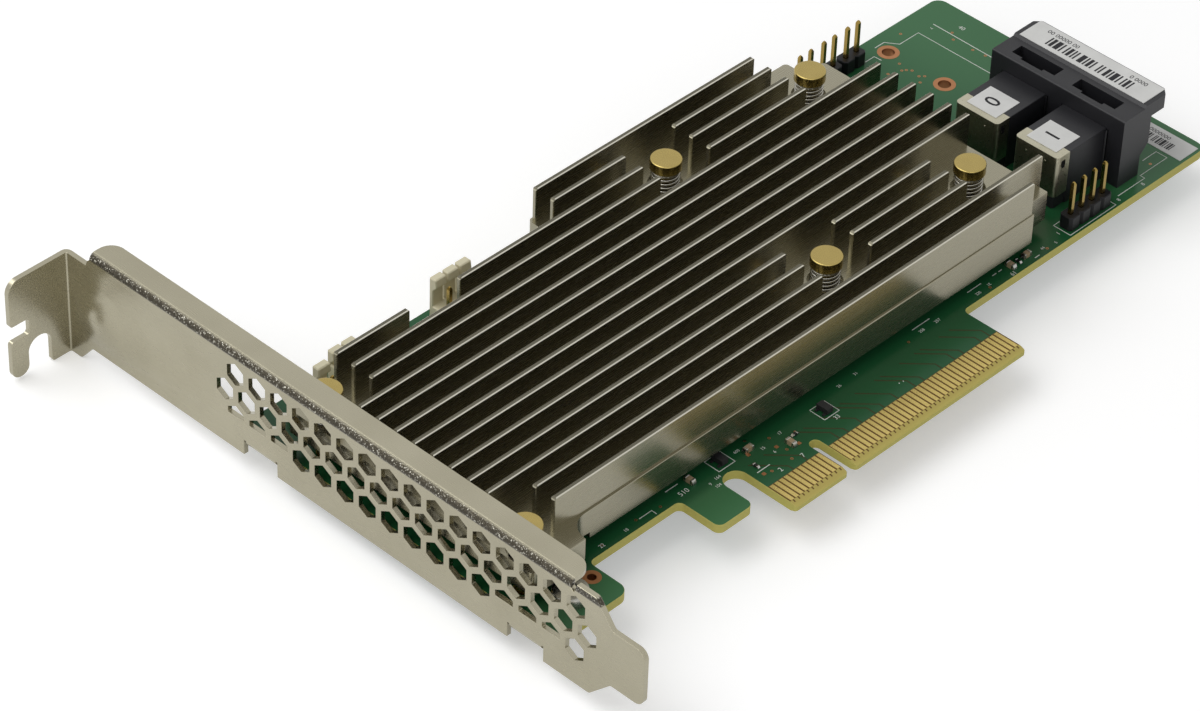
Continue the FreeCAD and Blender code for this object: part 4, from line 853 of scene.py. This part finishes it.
# %% [markdown]
# ## Printing and traces
#
# The white print on a board is ink about 0.02 mm thick, and the copper under the mask stands up by
# about as much. Both are narrow lines with round bends, so each is a poly curve with a small
# bevel, pressed flat once it is a mesh. The print is limited to outlines, bars and plain numbers.

# %% Lines on the board
def flat_line(points, width, height, base_z):
    """A raised line through the points, in millimetres."""
    clear()
    data = bpy.data.curves.new("line", "CURVE")
    data.dimensions = "3D"
    run = data.splines.new("POLY")
    run.points.add(len(points) - 1)
    for knot, (x, y) in zip(run.points, points):
        knot.co = (*mm(x, y, 0), 1)
    data.bevel_depth = mm(width / 2)
    data.bevel_resolution = 1
    data.use_fill_caps = True
    line = bpy.data.objects.new("line", data)
    bpy.context.scene.collection.objects.link(line)
    alone(line)
    bpy.ops.object.convert(target="MESH")
    line.scale.z = 2 * height / width
    line.location.z = mm(base_z)
    return line


# %% Printed outlines
SILK_WIDTH, SILK_THICK, SILK_RISE = 0.16, 0.02, 0.005


def ring_of(x0, y0, x1, y1):
    """The four corners of a rectangle, and the first again."""
    return [(x0, y0), (x1, y0), (x1, y1), (x0, y1), (x0, y0)]


OUTLINES = [
    [(76.1, 65.2), (78.3, 65.2), (78.4, 63.7)],
    [(80.2, 66.7), (82.4, 66.7), (83.9, 64.6), (88.5, 64.6), (88.5, 45.5)],
    [(92.1, 64.5), (92.0, 51.0)],
    [(88.2, 17.3), (91.6, 17.3), (91.6, 15.1), (84.9, 15.1), (84.9, 14.2), (78.3, 14.2)],
    ring_of(65.2, 13.0, 76.3, 16.4), ring_of(58.9, 64.3, 65.2, 67.9),
    ring_of(-14.7, 12.9, -11.3, 15.9), ring_of(5.0, 10.0, 8.2, 13.0),
    [(42.9, 14.9), (46.1, 14.9)], [(48.8, 14.9), (49.7, 14.9)], [(50.2, 14.9), (51.0, 14.9)],
    [(-23.6, 15.3), (-21.0, 15.3)], [(-30.5, 13.9), (-27.9, 13.9), (-27.9, 12.9)],
    [(56.9, 13.2), (58.0, 13.2)], [(20.0, 7.7), (20.1, 7.9)], [(7.5, 12.9), (7.6, 13.0)],
    [(19.2, 7.8), (19.3, 8.0)], [(-10.9, 8.9), (-8.2, 8.9)], [(30.0, 14.8), (34.0, 14.8)],
]
silk_lines = [flat_line(points, SILK_WIDTH, SILK_THICK, board_high[2] + SILK_RISE)
              for points in OUTLINES]
seat(gather("print_outlines", silk_lines), "board", silk_ink)

# %% Traces under the mask
TRACE_WIDTH, TRACE_THICK, TRACE_RISE = 0.26, 0.012, 0.002
TRACE_PADS = (37.5, 35.5, 31.5, 29.5, 26.5, 22.5, 20.5, 16.5, 13.5, 11.5, 8.5, 5.5, 3.5, -3.5,
              -6.5)
FIRST_BEND, BEND_STEP = 1.9, 0.35
UNDER_SINK = 0.4
traces = []
for number, x in enumerate(TRACE_PADS):
    bend_y = contacts_high[1] + FIRST_BEND - BEND_STEP * (number % 3)
    rise = sink_low[1] + UNDER_SINK - bend_y
    way = [(x, contacts_high[1] + 0.02), (x, bend_y), (x - rise, bend_y + rise)]
    traces.append(flat_line(way, TRACE_WIDTH, TRACE_THICK, board_high[2] + TRACE_RISE))
seat(gather("masked_traces", traces), "board", under_mask)


# %% [markdown]
# ### Numbers and bars
#
# Ink on paper and on the board is a few hundredths of a millimetre thick. A number starts as a
# text object, which has clean curves, and becomes a mesh before its place is applied. A bar is a
# thin block, modelled once and copied with the width that the pattern gives.

# %% A printed number
NUMBER_THICK, NUMBER_RISE = 0.006, 0.012


def number(text, size, x, y, z, turn=0.0, weight=0.0):
    """A plain number as a thin raised mesh, centred on its place; weight thickens its strokes."""
    clear()
    bpy.ops.object.text_add()
    shape = bpy.context.object
    shape.data.body = text
    shape.data.size = mm(size)
    shape.data.align_x, shape.data.align_y = "CENTER", "CENTER"
    shape.data.resolution_u = 3
    shape.data.extrude = mm(NUMBER_THICK)
    shape.data.offset = mm(weight)
    bpy.ops.object.convert(target="MESH")
    shape.location = mm(x, y, z)
    shape.rotation_euler.z = math.radians(turn)
    return shape


# %% Printed bars
BAR_THICK = 0.012


def bars(low, high, z, pattern):
    """Printed bars from low to high along Y, copies of one bar with the pattern's widths."""
    bar = start("bar", bpy.ops.mesh.primitive_plane_add, size=1.0)
    bpy.ops.transform.resize(value=mm(high[0] - low[0], 1, 1))
    bpy.ops.mesh.extrude_region_move(TRANSFORM_OT_translate={"value": mm(0, 0, BAR_THICK)})
    bpy.ops.mesh.select_all(action="SELECT")
    bpy.ops.mesh.normals_make_consistent(inside=False)
    bpy.ops.object.mode_set(mode="OBJECT")
    step = (high[1] - low[1]) / sum(pattern)
    inked = range(0, len(pattern), 2)
    middles = [low[1] + (sum(pattern[:n]) + pattern[n] / 2) * step for n in inked]
    return repeat(bar, "bars", [((low[0] + high[0]) / 2, y, z) for y in middles],
                  sizes=[(1, pattern[n] * step, 1) for n in inked])


# %% Print on the labels
PATTERN = (1, 1, 2, 1, 1, 2, 1, 1, 3, 1, 1, 1, 2, 2, 1, 1, 1, 3, 1, 1, 2, 1, 1, 1, 3, 2, 1, 1, 1,
           1, 2, 1, 1, 2, 1, 1, 3, 1, 2, 1, 1)
INK_RISE = 0.008
tag_low, tag_high = span("frame_label")
tag_z = tag_high[2] + INK_RISE
marks = [bars((tag_low[0] + 0.9, tag_low[1] + 4.2), (tag_low[0] + 3.1, tag_high[1] - 4.4), tag_z,
              PATTERN),
         number("00 00000 00", 1.25, tag_high[0] - 1.25, tag_high[1] - 5.8, tag_z, 90),
         number("0000 0", 1.25, tag_high[0] - 1.25, tag_low[1] + 4.2, tag_z, 90)]
side_low, side_high = span("board_label")
side_z = side_high[2] + INK_RISE
side_middle_y = (side_low[1] + side_high[1]) / 2
marks += [bars((side_low[0] + 0.8, side_low[1] + 3.0), (side_low[0] + 2.6, side_high[1] - 1.0),
               side_z, PATTERN),
          number("0000000", 1.2, side_high[0] - 1.2, side_middle_y, side_z, 90)]
PORT_DIGIT, PORT_DIGIT_WEIGHT = 3.9, 0.035
for digit, (low, high) in enumerate(sorted(solids("port_labels"), key=lambda s: -s[0].y)):
    marks.append(number(str(digit), PORT_DIGIT, (low.x + high.x) / 2, (low.y + high.y) / 2,
                        high.z + INK_RISE, weight=PORT_DIGIT_WEIGHT))
seat(gather("label_print", marks), "label", bar_ink)

# %% Numbers on the board
NUMBERS = [("510", 1.3, -21.7, 13.4, 0), ("7", 1.2, -3.2, 6.9, 0), ("2", 1.2, -7.9, 7.0, 0),
           ("33", 1.1, 6.8, 9.2, 0), ("19", 1.1, 51.6, 13.1, 180), ("257", 0.8, 34.5, 13.6, 0),
           ("8", 1.0, 77.6, 13.5, 0), ("22", 1.0, -38.5, 13.6, 0), ("104", 0.8, -17.0, 10.9, 0),
           ("1", 1.0, 64.2, 14.6, 0), ("3", 1.0, 57.9, 66.0, 0), ("12", 0.9, 94.0, 45.0, 90),
           ("164", 0.8, -15.8, 12.2, 0), ("9", 0.8, -17.6, 11.9, 0), ("15", 0.8, -6.3, 12.0, 0),
           ("17", 0.8, -2.0, 12.6, 0), ("6", 0.8, -5.6, 10.3, 0), ("600", 0.75, -9.6, 14.2, 0),
           ("21", 0.75, 46.8, 13.9, 180), ("235", 0.75, 44.0, 13.6, 0), ("44", 0.8, 59.6, 13.9, 0),
           ("5", 0.8, 62.2, 13.4, 0), ("26", 0.8, 12.3, 13.7, 0), ("31", 0.75, 16.2, 13.9, 0),
           ("258", 0.75, 31.0, 13.7, 0), ("4", 0.9, -44.3, 12.4, 0), ("18", 0.8, -33.6, 13.5, 0),
           ("7", 0.8, 91.0, 64.0, 180), ("40", 1.2, 94.6, 60.5, -90), ("8", 1.0, 83.5, 13.4, 0)]
printed = [number(text, size, x, y, board_high[2] + NUMBER_RISE, turn)
           for text, size, x, y, turn in NUMBERS]
seat(gather("print_numbers", printed), "board", silk_ink)


# %% [markdown]
# ## Windows of the port cages
#
# Each sheet-metal cage has a small window near the top of its side wall, where a spring finger
# shows, and two shallow spot welds on its end wall. A window could be cut through, but only its
# dark opening shows, so it is a thin near-black plate with a sunk middle, painted shade standing
# in for the shade inside the cage. A weld is a ball cut in half and pressed into a low dome.

# %% Cage windows
WINDOW = (0.7, 0.03, 0.95)
WINDOW_BORDER, WINDOW_SUNK = 0.1, 0.012
FROM_CAGE_END, FROM_CAGE_TOP, PLATE_OUT = 1.55, 1.9, 0.005
# The window plate is painted shade, standing in for the dark inside of the cage.
window = start("window", bpy.ops.mesh.primitive_cube_add, size=1.0)
bpy.ops.transform.resize(value=mm(*WINDOW))
pick(lambda at, lean: lean.y < -0.9)
bpy.ops.mesh.inset(thickness=mm(WINDOW_BORDER))
bpy.ops.transform.translate(value=mm(0, WINDOW_SUNK, 0))
bpy.ops.object.mode_set(mode="OBJECT")
cages = [span(node) for node in ("port_0_cage", "port_1_cage")]
window_places = [(low[0] + FROM_CAGE_END, low[1] - PLATE_OUT, high[2] - FROM_CAGE_TOP)
                 for low, high in cages]
seat(repeat(window, "cage_windows", window_places), "cage_metal", deep_shadow)

# %% Spot welds
WELD_RADIUS, WELD_FLATNESS = 0.22, 0.2
WELDS_ACROSS, WELD_FROM_TOP = (2.4, 6.2), 1.5
weld = start("weld", bpy.ops.mesh.primitive_uv_sphere_add, segments=12, ring_count=8,
             radius=mm(WELD_RADIUS))
pick(lambda at, lean: at.x > 0.02)
bpy.ops.mesh.delete(type="FACE")
bpy.ops.mesh.select_all(action="SELECT")
bpy.ops.mesh.fill_holes(sides=0)
bpy.ops.transform.resize(value=(WELD_FLATNESS, 1, 1))
bpy.ops.object.mode_set(mode="OBJECT")
weld_places = [(low[0], low[1] + across, high[2] - WELD_FROM_TOP)
               for low, high in cages for across in WELDS_ACROSS]
seat(repeat(weld, "cage_welds", weld_places), "cage_metal", finishes["cage_metal"], smooth=60)


# %% [markdown]
# ## Studio
#
# The floor is a pale sheet just under the lowest point of the card. A wide soft lamp above gives
# the even product light, and a weaker one fills the faces that look at the camera. The backdrop's
# white comes from what the floor and the world show to the camera and to shiny surfaces, not from
# more light on the card.

# %% Light that only the eye and shiny surfaces see
def seen_directly(tree):
    """1 for camera, glossy and transmission rays, 0 for the rays that carry light."""
    rays = tree.nodes.new("ShaderNodeLightPath")
    total = rays.outputs["Is Camera Ray"]
    for kind in ("Is Glossy Ray", "Is Transmission Ray"):
        most = tree.nodes.new("ShaderNodeMath")
        most.operation = "MAXIMUM"
        tree.links.new(total, most.inputs[0])
        tree.links.new(rays.outputs[kind], most.inputs[1])
        total = most.outputs["Value"]
    return total


# %% Floor
FLOOR_SIZE = 6.0
FLOOR_GAP = 0.02
FLOOR_LIFT = 0.34
clear()
bpy.ops.mesh.primitive_plane_add(size=FLOOR_SIZE, location=mm(0, 0, bracket_low[2] - FLOOR_GAP))
floor = bpy.context.object
floor.name = "studio_floor"
floor_finish = Finish("floor_paper", (0.80, 0.80, 0.80), roughness=0.9, Specular_IOR_Level=0.1)
floor_finish.shader.inputs["Emission Color"].default_value = (1, 1, 1, 1)
floor_seen = seen_directly(floor_finish.tree)
floor_finish.feed("Emission Strength", floor_finish.sum("MULTIPLY", floor_seen, FLOOR_LIFT))
floor.data.materials.append(floor_finish.material)
print("floor at z", round(bracket_low[2] - FLOOR_GAP, 2))


# %% [markdown]
# ### Lamps and world
#
# A product studio hangs wide cloth boxes in front of its lamps, because a wide source gives soft
# shadows and long, even reflections on metal. Two rectangular area lamps do the same, and a pale
# world fills the rest. The power is low enough for each colour to come out about as it is written.

# %% Lamps
def lamp(name, place, aim, size, power):
    """A rectangular area lamp that looks at its aim."""
    data = bpy.data.lights.new(name, "AREA")
    data.shape = "RECTANGLE"
    data.size, data.size_y = size
    data.energy = power
    light = bpy.data.objects.new(name, data)
    bpy.context.scene.collection.objects.link(light)
    light.location = place
    light.rotation_euler = (Vector(aim) - Vector(place)).to_track_quat("-Z", "Y").to_euler()


CARD_MIDDLE = (0.02, 0.03, 0.0)
KEY_POWER, FILL_POWER = 4.6, 1.6
lamp("key_softbox", (-0.35, 0.35, 0.75), CARD_MIDDLE, (0.9, 0.6), KEY_POWER)
lamp("fill_softbox", (-0.6, -0.7, 0.5), CARD_MIDDLE, (0.8, 0.5), FILL_POWER)
print("lamps:", KEY_POWER, "W and", FILL_POWER, "W")

# %% World
WORLD_LIGHT = 0.42
world = bpy.data.worlds.new("studio_world")
bpy.context.scene.world = world
world.use_nodes = True
sky = world.node_tree.nodes["Background"]
sky.inputs["Color"].default_value = (1, 1, 1, 1)
level = world.node_tree.nodes.new("ShaderNodeMapRange")
level.inputs["To Min"].default_value = WORLD_LIGHT
level.inputs["To Max"].default_value = 1.0
world.node_tree.links.new(seen_directly(world.node_tree), level.inputs["Value"])
world.node_tree.links.new(level.outputs["Result"], sky.inputs["Strength"])
bpy.context.scene.view_settings.view_transform = "Standard"
print("world light:", WORLD_LIGHT)


# %% [markdown]
# ## Camera
#
# A long lens from high on the bracket side, turned a little about its own axis, so that the card
# runs from the lower left to the upper right of the picture.

# %% Camera
AZIMUTH = math.radians(-47.2)
ELEVATION = math.radians(39.69)
ROLL = math.radians(2.07)
CAMERA_PLACE = (-0.40964, -0.32744, 0.45351)
FOCAL_LENGTH, SENSOR_WIDTH, SIDE_SHIFT = 142.6, 36.0, 0.004
lens = bpy.data.cameras.new("product_camera")
lens.lens = FOCAL_LENGTH
lens.sensor_width = SENSOR_WIDTH
lens.shift_x = SIDE_SHIFT
lens.clip_start = 0.05
back = Vector((math.sin(AZIMUTH) * math.cos(ELEVATION), -math.cos(AZIMUTH) * math.cos(ELEVATION),
               math.sin(ELEVATION)))
right = Vector((math.cos(AZIMUTH), math.sin(AZIMUTH), 0))
up = back.cross(right)
turned_right = right * math.cos(ROLL) + up * math.sin(ROLL)
turned_up = up * math.cos(ROLL) - right * math.sin(ROLL)
camera = bpy.data.objects.new("product_camera", lens)
bpy.context.scene.collection.objects.link(camera)
camera.location = CAMERA_PLACE
camera.rotation_euler = Matrix((turned_right, turned_up, back)).transposed().to_euler()
bpy.context.scene.camera = camera
print("camera at", CAMERA_PLACE, "with a lens of", FOCAL_LENGTH, "mm")
